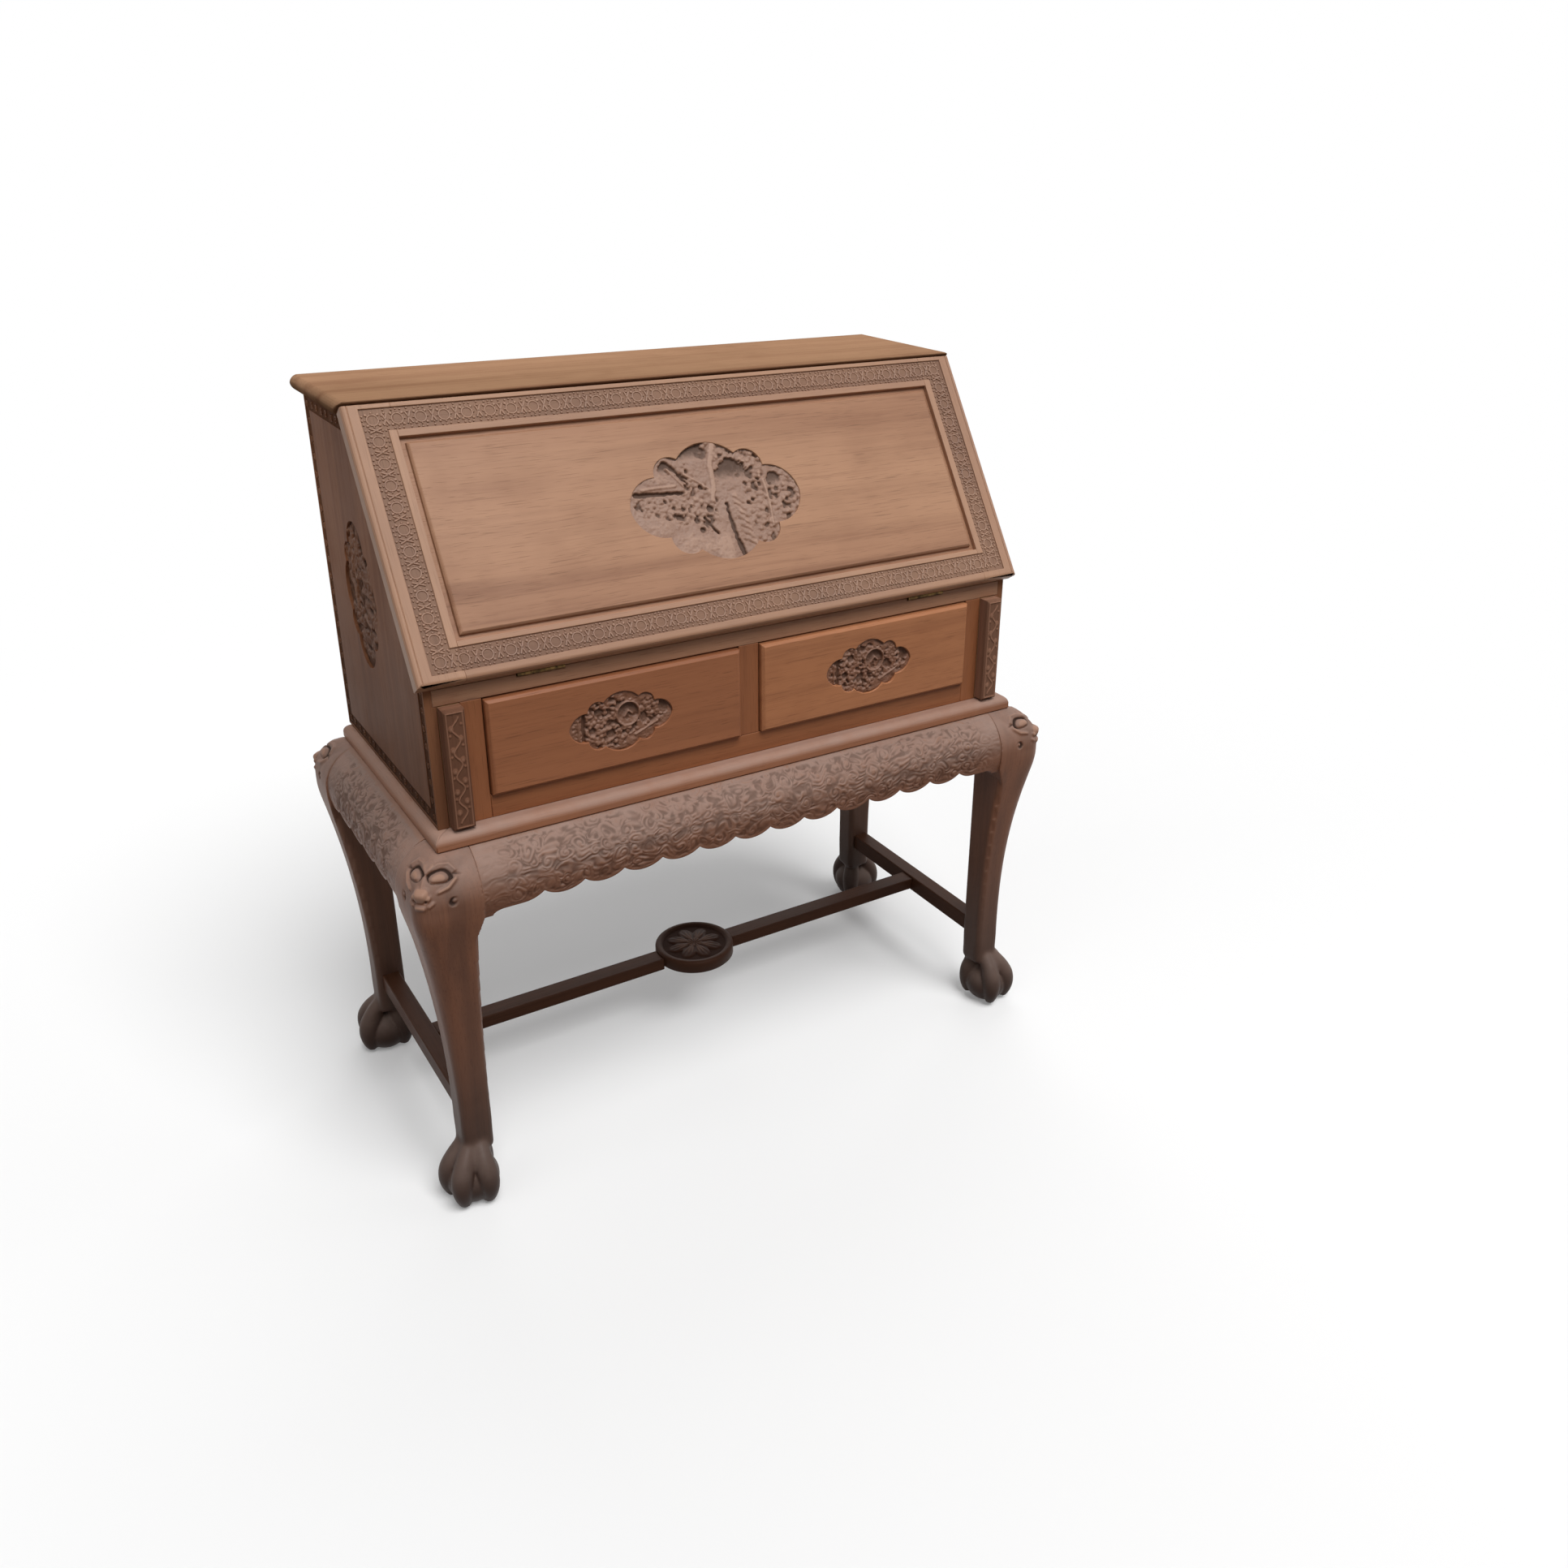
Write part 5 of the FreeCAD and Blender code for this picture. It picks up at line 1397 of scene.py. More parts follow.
@dataclass
class CarvedBand:
    """A sunk band that runs round a panel, with motifs raised along it.

    Attributes:
        name: The piece's name.
        body: The body that carries it.
        outline: The panel's convex outline, anticlockwise, on the panel's face.
        inset: From the outline to the band's middle, for each edge.
        width: Width of the band.
        depth: How far its ground is sunk.
        pitch: About how far apart the motifs are.
        motif: What repeats.
        place: From the panel's flat face to the bureau.
    """

    name: str
    body: str
    outline: Sequence[Point]
    inset: Sequence[float]
    width: float
    depth: float
    pitch: float
    motif: Motif
    place: Matrix

    def _line(self, shift: float) -> Array:
        """The outline moved in to the band's middle and out again.

        Args:
            shift: How far out again.

        Returns:
            Its corners, one row each.
        """
        corners = np.array(self.outline, float)
        step = np.roll(corners, -1, 0) - corners
        step /= np.hypot(*step.T)[:, None]
        outward = np.stack([step[:, 1], -step[:, 0]], -1)
        reach = (outward * corners).sum(1) + shift - np.array(self.inset)
        before = np.roll(np.arange(len(corners)), 1)
        return np.array([np.linalg.solve([outward[a], outward[b]], [reach[a], reach[b]])
                         for a, b in zip(before, range(len(corners)))])

    def cutter(self) -> Mesh:
        """A closed ring that takes the band's ground away from the panel.

        Returns:
            The ring.
        """
        outer, inner = self._line(self.width / 2), self._line(-self.width / 2)
        count = len(outer)
        rings = [(outer, -self.depth), (outer, self.depth), (inner, self.depth), (inner, -self.depth)]
        vertices = np.concatenate([np.column_stack([ring, np.full(count, level)]) for ring, level in rings])
        number = np.arange(len(vertices)).reshape(len(rings), count)
        turned = np.roll(number, -1, 1)
        faces = np.stack([number, turned, np.roll(turned, -1, 0), np.roll(number, -1, 0)], -1)
        mesh = mesh_of(f"{self.name}_cutter", vertices, faces.reshape(-1, 4).tolist())
        mesh.transform(self.place)
        return mesh

    def mark_ground(self, mesh: Mesh) -> Mesh:
        """Store on a cut panel which of its points lie on the band's ground, where grime and painted shade go.

        Args:
            mesh: The panel.

        Returns:
            The panel.
        """
        back = np.array(self.place.inverted())
        levels = points_of(mesh) @ back[2, :3] + back[2, 3]
        ground, face = 0.0, 0.9
        store(mesh, RELIEF, np.where(np.abs(levels + self.depth) < 0.1 * self.depth, ground, face))
        return mesh

    def _spots(self) -> tuple[list[Vec], list[float], list[float]]:
        """Lay out the motifs round the band, each a little off true as by hand.

        Returns:
            Their places, their turns and their kinds.
        """
        corners = self._line(0.0)
        dice = np.random.default_rng(len(self.name))
        spots, turns, kinds = [], [], []
        for index, start in enumerate(corners):
            run = corners[(index + 1) % len(corners)] - start
            count = max(1, round(float(np.hypot(*run)) / self.pitch))
            heading = math.atan2(run[1], run[0])
            for step in range(2 * count):
                spot = start + run * step / (2 * count) + dice.uniform(-0.5, 0.5, 2) * MM
                spots.append((spot[0], spot[1], -self.depth))
                flip = math.pi * (step // 2 % 2) if self.motif is Motif.SCROLLS else 0.0
                turns.append(heading + flip + dice.uniform(-0.07, 0.07))
                kinds.append(float(step % 2))
        return spots, turns, kinds

    def motifs(self, finish: WoodFinish, size: float, strap: float) -> None:
        """Carve the motifs.

        Args:
            finish: The wood.
            size: A motif's radius.
            strap: Width of its carved lines.
        """
        jig = ring_jig() if self.motif is Motif.RINGS else scroll_jig()
        spots, turns, kinds = self._spots()
        carrier = new_piece(self.name, mesh_of(self.name, np.array(spots), []))
        store(carrier.data, "turn", np.array(turns))
        store(carrier.data, "kind", np.array(kinds))
        modifier = carrier.modifiers.new("motifs", "NODES")
        modifier.node_group = jig.tree
        sizes = {"Size": size, "Strap": strap, "Rise": self.depth * 0.92, "Material": finish.material()}
        for label, value in sizes.items():
            modifier[jig.identifiers[label]] = value
        mesh = baked(carrier)
        levels = points_of(mesh)[:, 2]
        # Low places of the motifs take grime and painted shade, the highest pale wear and a painted highlight.
        store(mesh, RELIEF, np.clip((levels + self.depth) / self.depth, 0.0, 1.0))
        mesh.transform(self.place)
        smooth(mesh)
        seat(new_piece(self.name, mesh), finish, self.body)


# Stand


@dataclass
class Leg:
    """A cabriole leg with a beast's mask on its knee and a ball and claw foot.

    Attributes:
        node: The CAD leg.
        voxel: Grain of the reworked mesh.
        inner: Where its two inner faces stand, along X and along Y.
        knee_reach: How far the knee stands out from those faces.
        knee_level: Height of the knee.
        crown: Radius of the curve above the knee.
        tuck: Radius of the curve below it.
        mask_half: From the leg's arris to the mask's end on either face.
        mask_fades: Over how far the mask fades at its sides, at its foot and at its head.
        ankle: Levels between which the ankle's easing fades in, then out.
        PLAIN: The relief that uncarved wood counts as.
    """

    node: str
    voxel: float = 1.5 * MM
    inner: Point = (428 * MM, 173 * MM)
    knee_reach: float = 78 * MM
    knee_level: float = 490 * MM
    crown: float = 60.6 * MM
    tuck: float = 202 * MM
    mask_half: float = 58 * MM
    mask_low: float = -20 * MM
    mask_high: float = 72 * MM
    mask_fades: Vec = (14 * MM, 20 * MM, 10 * MM)
    mask_sunk: float = 0.7 * MM
    ankle: tuple[float, ...] = (54 * MM, 72 * MM, 96 * MM, 128 * MM)
    easings: int = 40

    PLAIN = 0.72

    def _blank(self) -> Mesh:
        """The leg before its mask is carved, with an even mesh and its ankle eased into its foot.

        Returns:
            The mesh.
        """
        piece = new_piece(f"{self.node}_carved", merged(self.node))
        remesh = piece.modifiers.new("even", "REMESH")
        remesh.mode, remesh.voxel_size, remesh.use_smooth_shade = "VOXEL", self.voxel, True
        ease = piece.modifiers.new("ease", "SMOOTH")
        ease.factor, ease.iterations = 0.5, 3
        mesh = baked(piece)
        spots = points_of(mesh)
        share = ramp(*self.ankle[:2], spots[:, 2]) * ramp(self.ankle[3], self.ankle[2], spots[:, 2])
        mesh.vertices.foreach_set("co", eased(mesh, spots, share, self.easings).ravel())
        mesh.update()
        return mesh

    def build(self, finish: WoodFinish) -> None:
        """Carve the leg's mask and set it in the stand.

        Args:
            finish: The stand's wood.
        """
        mesh = self._blank()
        spots, facing = points_of(mesh), points_of(mesh, "normal")
        way = np.sign(spots[:, :2].mean(0))
        x, y, z = spots[:, 0] * way[0], spots[:, 1] * way[1], spots[:, 2]
        radius = np.where(z > self.knee_level, self.crown, self.tuck)
        bow = np.sqrt(np.clip(radius ** 2 - (z - self.knee_level) ** 2, 0.0, None))
        reach = self.knee_reach - radius + bow
        across = (self.inner[0] + reach - x) - (self.inner[1] + reach - y)
        outside = np.maximum(facing[:, 0] * way[0], facing[:, 1] * way[1])
        over = self.crown * np.arcsin(np.clip((z - self.knee_level) / self.crown, -1.0, 1.0))
        up = np.where(z > self.knee_level, over, z - self.knee_level)
        beyond, below, above = self.mask_fades
        share = ramp(0.25, 0.6, outside) * ramp(self.mask_half, self.mask_half - beyond, np.abs(across))
        share *= ramp(self.mask_low, self.mask_low + below, up)
        share *= ramp(self.mask_high, self.mask_high - above, up)
        height = self._mask(np.abs(across), up)
        spots += facing * ((height - self.mask_sunk) * share)[:, None]
        low, high = (np.array(corner) for corner in CAD_BOX)
        spots = np.clip(spots, low, high)
        mesh.vertices.foreach_set("co", spots.ravel())
        mesh.update()
        # Deep grooves count as low relief and take grime and painted shade; raised parts take pale wear and a
        # painted highlight.
        shade = np.clip(0.5 + height / (5.0 * MM), 0.0, 1.0)
        store(mesh, RELIEF, self.PLAIN + (shade - self.PLAIN) * share)
        smooth(mesh)
        piece = new_piece(f"{self.node}_carved", mesh)
        seat(piece, self._wood(finish), NODE_BODY[self.node], [self.node])

    @staticmethod
    def _wood(finish: WoodFinish) -> WoodFinish:
        """The stand's wood as the legs have it, with grime and painted shade in the mask's grooves and pale wear
        and a painted highlight on its raised parts.
        """
        return replace(finish, carved=True, light=srgb(160, 124, 104), shine=0.16, dust_and_sheen=0.36,
                       grime_and_shade=0.9, wear_and_highlight=0.75)

    @staticmethod
    def _mask(t: Array, s: Array) -> Array:
        """Heights of the mask, the same on both sides of the leg's arris.

        Args:
            t: Distance from the arris round the knee.
            s: Distance up the knee's curve from its widest level.

        Returns:
            Heights above the mask's ground.
        """
        t, s = t / MM, s / MM
        form = np.zeros(t.shape)
        raised = [
            swell(t, s, [(6, 56), (14, 60), (28, 58), (42, 47)], 10.0, 2.0, 0.5),
            swell(t, s, [(0, 58), (0, 26)], 13.0, 2.0),
            dome(t, s, (0, 58), (10, 8), 3.6),
            swell(t, s, [(-5, 23), (5, 23)], 25.0, 7.0),
            swell(t, s, [(13, 19), (14, 20)], 12.0, 3.6),
            swell(t, s, [(45, 36), (39, 28), (28, 25)], 15.0, 2.4, 0.6),
            swell(t, s, [(0, 7), (7, 7)], 12.0, 2.6),
            swell(t, s, [(16, 9), (21, 12)], 9.0, 2.0),
        ]
        for shape in raised:
            form = np.maximum(form, shape)
        across, slant = t - 22, s - 43 + 0.22 * (t - 22) + 0.8 * np.sin(t / 5.0)
        arch = np.clip(1.0 - (across / 21.0) ** 2, 0.0, 1.0)
        inside = np.minimum(10.6 * arch ** 0.65 - slant, 9.4 * arch ** 0.8 + slant)
        sunk = 2.4 + 1.2 * ramp(-5.0, 5.0, slant)
        lid = ramp(-0.6, 2.6, inside)
        form = form * (1.0 - lid) - sunk * lid
        ball = 5.8 * np.sqrt(np.clip(1.0 - (across / 15.5) ** 2 - ((slant + 0.4) / 7.8) ** 2, 0.0, 1.0))
        form = np.maximum(form, np.where(ball > 0.0, ball - sunk, form))
        for groove, width, depth in (([(0, 47), (6, 47)], 5.0, 2.4), ([(40, 44), (52, 40)], 4.0, 1.6)):
            form = form - swell(t, s, groove, width, depth)
        form = form - dome(t, s, (10, 15.5), (3.0, 2.0), 3.2)
        form = form - dome(t, s, (48, 8), (6.0, 6.5), 3.4) + dome(t, s, (49, 9), (3.0, 3.2), 3.4)
        return form * MM


@dataclass
class Apron:
    """A bulging apron carved all over with running scrolls, scalloped along its lower edge.

    Attributes:
        node: The CAD apron.
        turn: Degrees that it is turned about the stand's middle from the front.
        half_length: Half its length between the legs.
        standoff: From the stand's middle to the legs' inner faces.
        cusps: Points between its lobes.
        bulge_level: Height at which it stands out furthest, by bulge_reach from the legs' inner faces.
        crown: Radius of the face above that level; tuck below it.
        bracket_end: Length of each end, before the edge climbs to the lobes.
    """

    node: str
    turn: float
    half_length: float
    standoff: float
    cusps: int
    pitch: float = 1.3 * MM
    top_level: float = 548 * MM
    bulge_level: float = 490 * MM
    bulge_reach: float = 76 * MM
    crown: float = 61.52 * MM
    tuck: float = 88.33 * MM
    back: float = 8 * MM
    foot: float = 458 * MM
    lobe_low: float = 466 * MM
    lobe_rise: float = 11 * MM
    lobe_pitch: float = 56.5 * MM
    bracket_end: float = 12 * MM
    bracket_run: float = 16 * MM
    relief: float = 1.7 * MM
    rows: int = 84
    crease: float = math.radians(50)

    def _edge(self, x: Array) -> Array:
        """Height of the scalloped lower edge.

        Args:
            x: Places along the apron.

        Returns:
            The edge's height at each.
        """
        half = self.lobe_pitch / 2
        radius = (half ** 2 + self.lobe_rise ** 2) / (2 * self.lobe_rise)
        shift = 0.0 if self.cusps % 2 else half
        off = np.abs((x + shift + half) % self.lobe_pitch - half)
        lobes = radius - np.sqrt(radius ** 2 - (half - off) ** 2)
        lobes = np.where(np.abs(x) < self.cusps * half, lobes, 0.0)
        into = np.clip(self.half_length - self.bracket_end - np.abs(x), 0.0, self.bracket_run)
        drop = self.lobe_low - self.foot
        bracket = drop * np.sqrt(np.clip(1 - (1 - into / self.bracket_run) ** 2, 0.0, 1.0))
        return self.foot + bracket + lobes

    def _reach(self, z: Array) -> Array:
        """How far the face stands out at a height."""
        radius = np.where(z > self.bulge_level, self.crown, self.tuck)
        return self.bulge_reach - radius + np.sqrt(radius ** 2 - (z - self.bulge_level) ** 2)

    def _scrolls(self, x: Array, s: Array, edge: Array) -> Array:
        """Heights of the carving: bent folds with coils laid over them.

        Args:
            x: Places along the apron.
            s: Distance down the face from its top.
            edge: Height above the lower edge.

        Returns:
            Shares of the full height.
        """
        x, s = x / MM, s / MM
        dice = np.random.default_rng(round(self.turn) + 5)
        bend = [9.0 * (speckle(x / 15.0, s / 15.0, seed) - 0.5) for seed in (21, 22)]
        flow_x, flow_s = x + bend[0], s + bend[1]
        flow = flow_s + 6.0 * np.sin(flow_x / 17.0) + 3.5 * np.sin(flow_x / 6.3 + flow_s / 9.0)
        form = 0.5 + 0.5 * np.cos(FULL_TURN * flow / 7.4)
        step, drop = 25.0, 19.0
        count = int(self.half_length / MM / step) + 1
        spots = [(index * step + step / 2 * (line % 2), 10.0 + drop * line)
                 for index in range(-count, count + 1) for line in range(5)]
        dice.shuffle(spots)
        for place, below in spots:
            across = flow_x - place - dice.uniform(-8, 8)
            down = (flow_s - below - dice.uniform(-6, 6)) * dice.uniform(0.8, 1.4)
            reach, radius, hand = np.hypot(across, down), dice.uniform(8.0, 14.5), dice.choice((-1, 1))
            turn = hand * np.arctan2(down, across) / FULL_TURN + dice.uniform(0, 1)
            arms = 0.5 + 0.5 * np.cos(FULL_TURN * (reach / dice.uniform(5.6, 7.4) - turn))
            own = np.maximum(arms, ramp(3.4, 1.6, reach)) * ramp(radius, radius - 1.6, reach)
            form = np.where(reach < radius, own, form)
        form *= 0.35 + 0.65 * ramp(0.20, 0.70, speckle(x / 11.0, s / 11.0, 4))
        form = 0.55 * form + 0.45 * ramp(0.15, 0.85, speckle(flow_x / 6.5, flow_s / 6.0, 9))
        plain = ramp(60.0, 15.0, self.half_length / MM - np.abs(x))
        form += (0.75 - form) * 0.6 * plain
        worn = ramp(6.0, 1.0, edge / MM)
        return np.clip(form + (0.7 - form) * worn, 0.0, 1.0)

    def build(self, finish: WoodFinish) -> None:
        """Carve the apron and set it in the stand.

        Args:
            finish: The stand's wood.
        """
        columns = 2 * round(self.half_length / self.pitch) + 1
        x = np.linspace(-self.half_length, self.half_length, columns)[:, None]
        edge = self._edge(x)
        z = edge + (self.top_level - edge) * np.linspace(0.0, 1.0, self.rows)[None, :]
        x = np.broadcast_to(x, z.shape)
        levels = np.linspace(self.foot, self.top_level, 200)
        drop = np.hypot(np.gradient(self._reach(levels)), np.gradient(levels)).cumsum()
        depth = np.interp(z, levels, drop[-1] - drop)
        height = self._scrolls(x, depth, z - edge)
        ends = ramp(0.0, 3 * MM, self.half_length - np.abs(x))
        top = ramp(0.0, 5 * MM, self.top_level - z)
        height = 1.0 - (1.0 - height) * ends * top
        slope = np.gradient(self._reach(levels), levels)
        lean = np.interp(z, levels, slope)
        away = self.relief * (height - 1.0) / np.hypot(1.0, lean)
        y = -(self.standoff + self._reach(z) + away)
        face = np.stack([x, y, z - away * lean], -1)
        behind = np.full(columns, -(self.standoff + self.back))
        lower = np.stack([x[:, 0], behind, z[:, 0]], -1)[:, None]
        upper = np.stack([x[:, 0], behind, z[:, -1]], -1)[:, None]
        loop = np.concatenate([face, upper, lower], 1)
        mesh = skinned(f"{self.node}_carved", loop)
        mesh.transform(Matrix.Rotation(math.radians(self.turn), 4, "Z"))
        store(mesh, RELIEF, np.concatenate([height, np.ones((columns, 2))], 1))
        mesh.set_sharp_from_angle(angle=self.crease)
        piece = new_piece(f"{self.node}_carved", mesh)
        # Dust here also paints the sheen on the upper bulge, and grime paints shade in the hollows.
        apron_wood = replace(finish, carved=True, shine=0.16, dust_and_sheen=0.50, grime_and_shade=0.40, low_shade=0.0,
                        grain=Grain.DEEP if self.turn % 180 else Grain.ACROSS)
        seat(piece, apron_wood, NODE_BODY[self.node], [self.node])


@dataclass
class Roundel:
    """The turned roundel on the medial stretcher, with a carved flower in the face sunk within its rim."""

    node: str = "stretcher_roundel"
    petals: int = 8
    bevel: float = 3 * MM
    rim: float = 9 * MM
    sink: float = 4 * MM
    spokes: int = 160
    rings: int = 60

    def _flower(self, turn: Array, share: Array) -> Array:
        """Heights of the flower.

        Args:
            turn: Angles round the roundel.
            share: Shares of the sunk face's radius, one row each.

        Returns:
            Shares of the full height, by radius and angle.
        """
        lobes = np.abs(np.cos(turn * self.petals / 2))[None, :]
        petal = ramp(1.0, 0.86, share / (0.62 + 0.34 * lobes))
        petal = petal * (0.55 + 0.45 * np.sqrt(lobes)) * (0.6 + 0.4 * np.sin(share * 4))
        veins = 0.12 * np.cos(turn * self.petals * 4)[None, :] * ramp(0.3, 0.5, share)
        heart = ramp(0.30, 0.22, share) * (0.85 + 0.15 * np.cos(turn * 12)[None, :])
        return np.clip(np.maximum(petal + veins * petal, heart * 1.1), 0.0, 1.0)

    def build(self, finish: WoodFinish) -> None:
        """Turn and carve the roundel.

        Args:
            finish: The stand's wood.
        """
        low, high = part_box(self.node)
        radius, base, top = high.x, low.z, high.z
        turn = np.linspace(0.0, FULL_TURN, self.spokes, endpoint=False)
        lip = [(radius - self.rim / 2 * (1 - math.cos(a)), top - self.rim / 2 * (1 - math.sin(a)))
               for a in np.linspace(0.0, math.pi / 2, 7)]
        outer = [(radius - self.bevel, base), (radius, base + self.bevel)] + lip + [(radius - self.rim, top)]
        sunk = radius - self.rim - self.sink
        reach = np.linspace(sunk, 0.6 * MM, self.rings)
        height = self._flower(turn, reach[:, None] / sunk)
        level = top - self.sink + 0.85 * self.sink * height
        rows = [np.stack([r * np.cos(turn), r * np.sin(turn), np.full(self.spokes, z)], -1) for r, z in outer]
        rows += [np.stack([r * np.cos(turn), r * np.sin(turn), line], -1) for r, line in zip(reach, level)]
        mesh = skinned("roundel_carved", np.array(rows), reverse=True)
        store(mesh, RELIEF, np.concatenate([np.full((len(outer), self.spokes), 0.85), height], 0))
        mesh.set_sharp_from_angle(angle=CREASE)
        # The roundel's darker body is painted shade, as it lies under the case; its flower also takes grime and
        # painted shade in its low places.
        shaded_wood = replace(finish, carved=True, body=srgb(92, 58, 42), light=srgb(110, 76, 57),
                       grain=Grain.ACROSS)
        seat(new_piece("roundel_carved", mesh), shaded_wood, NODE_BODY[self.node], [self.node])


@dataclass
class Stand:
    """The stand: legs, frame, stretchers and carved aprons, long at front and back, short at the sides."""

    finish: WoodFinish = STAND
    frame_finish: WoodFinish = FRONT_RAIL
    long_half: float = 419.8 * MM
    short_half: float = 164.8 * MM
    long_standoff: float = 173 * MM
    short_standoff: float = 428 * MM
    long_cusps: int = 13
    short_cusps: int = 5
    edge: float = 1.6 * MM

    def build(self) -> None:
        """Build and seat every piece of the stand."""
        for end in ("front", "back"):
            for side in SIDES:
                Leg(f"{end}_{side}_leg").build(self.finish)
        for node, turn in (("front_apron", 0), ("back_apron", 180)):
            Apron(node, turn, self.long_half, self.long_standoff, self.long_cusps).build(self.finish)
        for node, turn in (("right_apron", 90), ("left_apron", 270)):
            Apron(node, turn, self.short_half, self.short_standoff, self.short_cusps).build(self.finish)
        # The frame rails take dust and painted sheen on what faces up.
        for label in ("front", "back"):
            soften(f"{label}_frame_rail", replace(self.frame_finish, dust_and_sheen=0.5, seed=4.2), self.edge)
        for label in SIDES:
            soften(f"{label}_frame_rail", replace(self.frame_finish, dust_and_sheen=0.5, grain=Grain.DEEP), self.edge)
            soften(f"{label}_stretcher", replace(self.finish, grain=Grain.DEEP), self.edge)
            soften(f"{label}_medial_stretcher", replace(self.finish, grain=Grain.ACROSS), self.edge)
        Roundel().build(self.finish)


# Case


@dataclass
class Case:
    """The case: sides with carved borders and landscapes, top, rails, boards and back.

    Attributes:
        recess_back: How far behind the bureau's middle a side's recess lies.
        motif: Radius of a border's motif and width of its carved lines.
    """

    finish: WoodFinish = CARCASE
    edge: float = 1.2 * MM
    recess_width: float = 142 * MM
    recess_height: float = 199 * MM
    recess_back: float = 44 * MM
    recess_level: float = 810 * MM
    recess_depth: float = 6 * MM
    band_inset: float = 13 * MM
    band_width: float = 17 * MM
    band_depth: float = 1.3 * MM
    band_pitch: float = 24 * MM
    motif: Point = (5.2 * MM, 2.3 * MM)

    def build(self) -> None:
        """Build and seat every fixed piece of the case."""
        for label, way in SIDES.items():
            self._side(label, way)
        top = replace(POLISHED, body=srgb(156, 120, 92), coat=0.0, shine=0.0, seed=2.6)
        soften("top_board", top, 1.6 * MM)
        soften("bottom_rail", replace(FRONT_RAIL, seed=6.5), self.edge)
        soften("centre_muntin", replace(FRONT_RAIL, grain=Grain.UPRIGHT), self.edge)
        for label in SIDES:
            soften(f"{label}_partition", replace(FRONT_RAIL, grain=Grain.UPRIGHT, seed=8.1), self.edge)
        soften("writing_board", WRITING, 1.0 * MM)
        back = replace(INNER, grain=Grain.UPRIGHT, body=srgb(128, 88, 60), streak=srgb(102, 68, 46),
                       light=srgb(148, 106, 76))
        soften("back_panel", back, self.edge)
        for node in ("case_bottom", "centre_guide"):
            soften(node, INNER, self.edge)

    def _side(self, label: str, way: int) -> None:
        """Build one side: its board, its border and its landscape.

        Args:
            label: Which side.
            way: Its way from the middle along X.
        """
        node = f"{label}_side"
        low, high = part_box(node)
        face = high.x if way > 0 else low.x
        place = Matrix(((0, 0, way, face), (way, 0, 0, 0), (0, 1, 0, 0), (0, 0, 0, 1)))
        slope = math.tan(math.pi - math.radians(fall_joint()["range_deg"][1]))
        elbow = fall_joint()["pos_m"][2]
        crest = low.y + (high.z - elbow) / slope
        shape = [(low.y, low.z), (high.y, low.z), (high.y, high.z), (crest, high.z), (low.y, elbow)]
        outline = shape if way > 0 else [(-y, z) for y, z in shape[::-1]]
        band = CarvedBand(f"{label}_side_border", "case", outline, [self.band_inset] * len(outline),
                          self.band_width, self.band_depth, self.band_pitch, Motif.SCROLLS, place)
        # The sides are painted darker towards their lower part: painted shade.
        upright = replace(self.finish, body=srgb(158, 108, 78), grain=Grain.UPRIGHT, low_shade=0.66,
                          low_shade_levels=(0.56, 0.92), seed=1.3 * way)
        # The border's ground takes grime and painted shade.
        board = band.mark_ground(carved_away(merged(node), [band.cutter()]))
        carved = replace(upright, carved=True)
        seat(rounded(new_piece(f"{label}_side_carved", board), self.edge * 0.6), carved, "case", [node])
        band.motifs(carved, *self.motif)
        floor = Matrix.Translation((-way * self.recess_depth, self.recess_back, self.recess_level))
        # The landscape takes grime and painted shade in its hollows, and dust with painted sheen, pale wear and a
        # painted highlight on top.
        Recess(f"{label}_side_landscape", node, self.recess_width, self.recess_height, self.recess_depth,
               floor @ place, Scene.HILLS, 0.8 * MM, 31 + way).build(
                   replace(upright, light=srgb(176, 140, 120), dust_and_sheen=0.5, grime_and_shade=0.92))


def fall_joint() -> dict:
    """The fall's hinge, as the record gives it."""
    return next(joint for joint in frame["joints"] if joint["name"] == "fall_hinge")


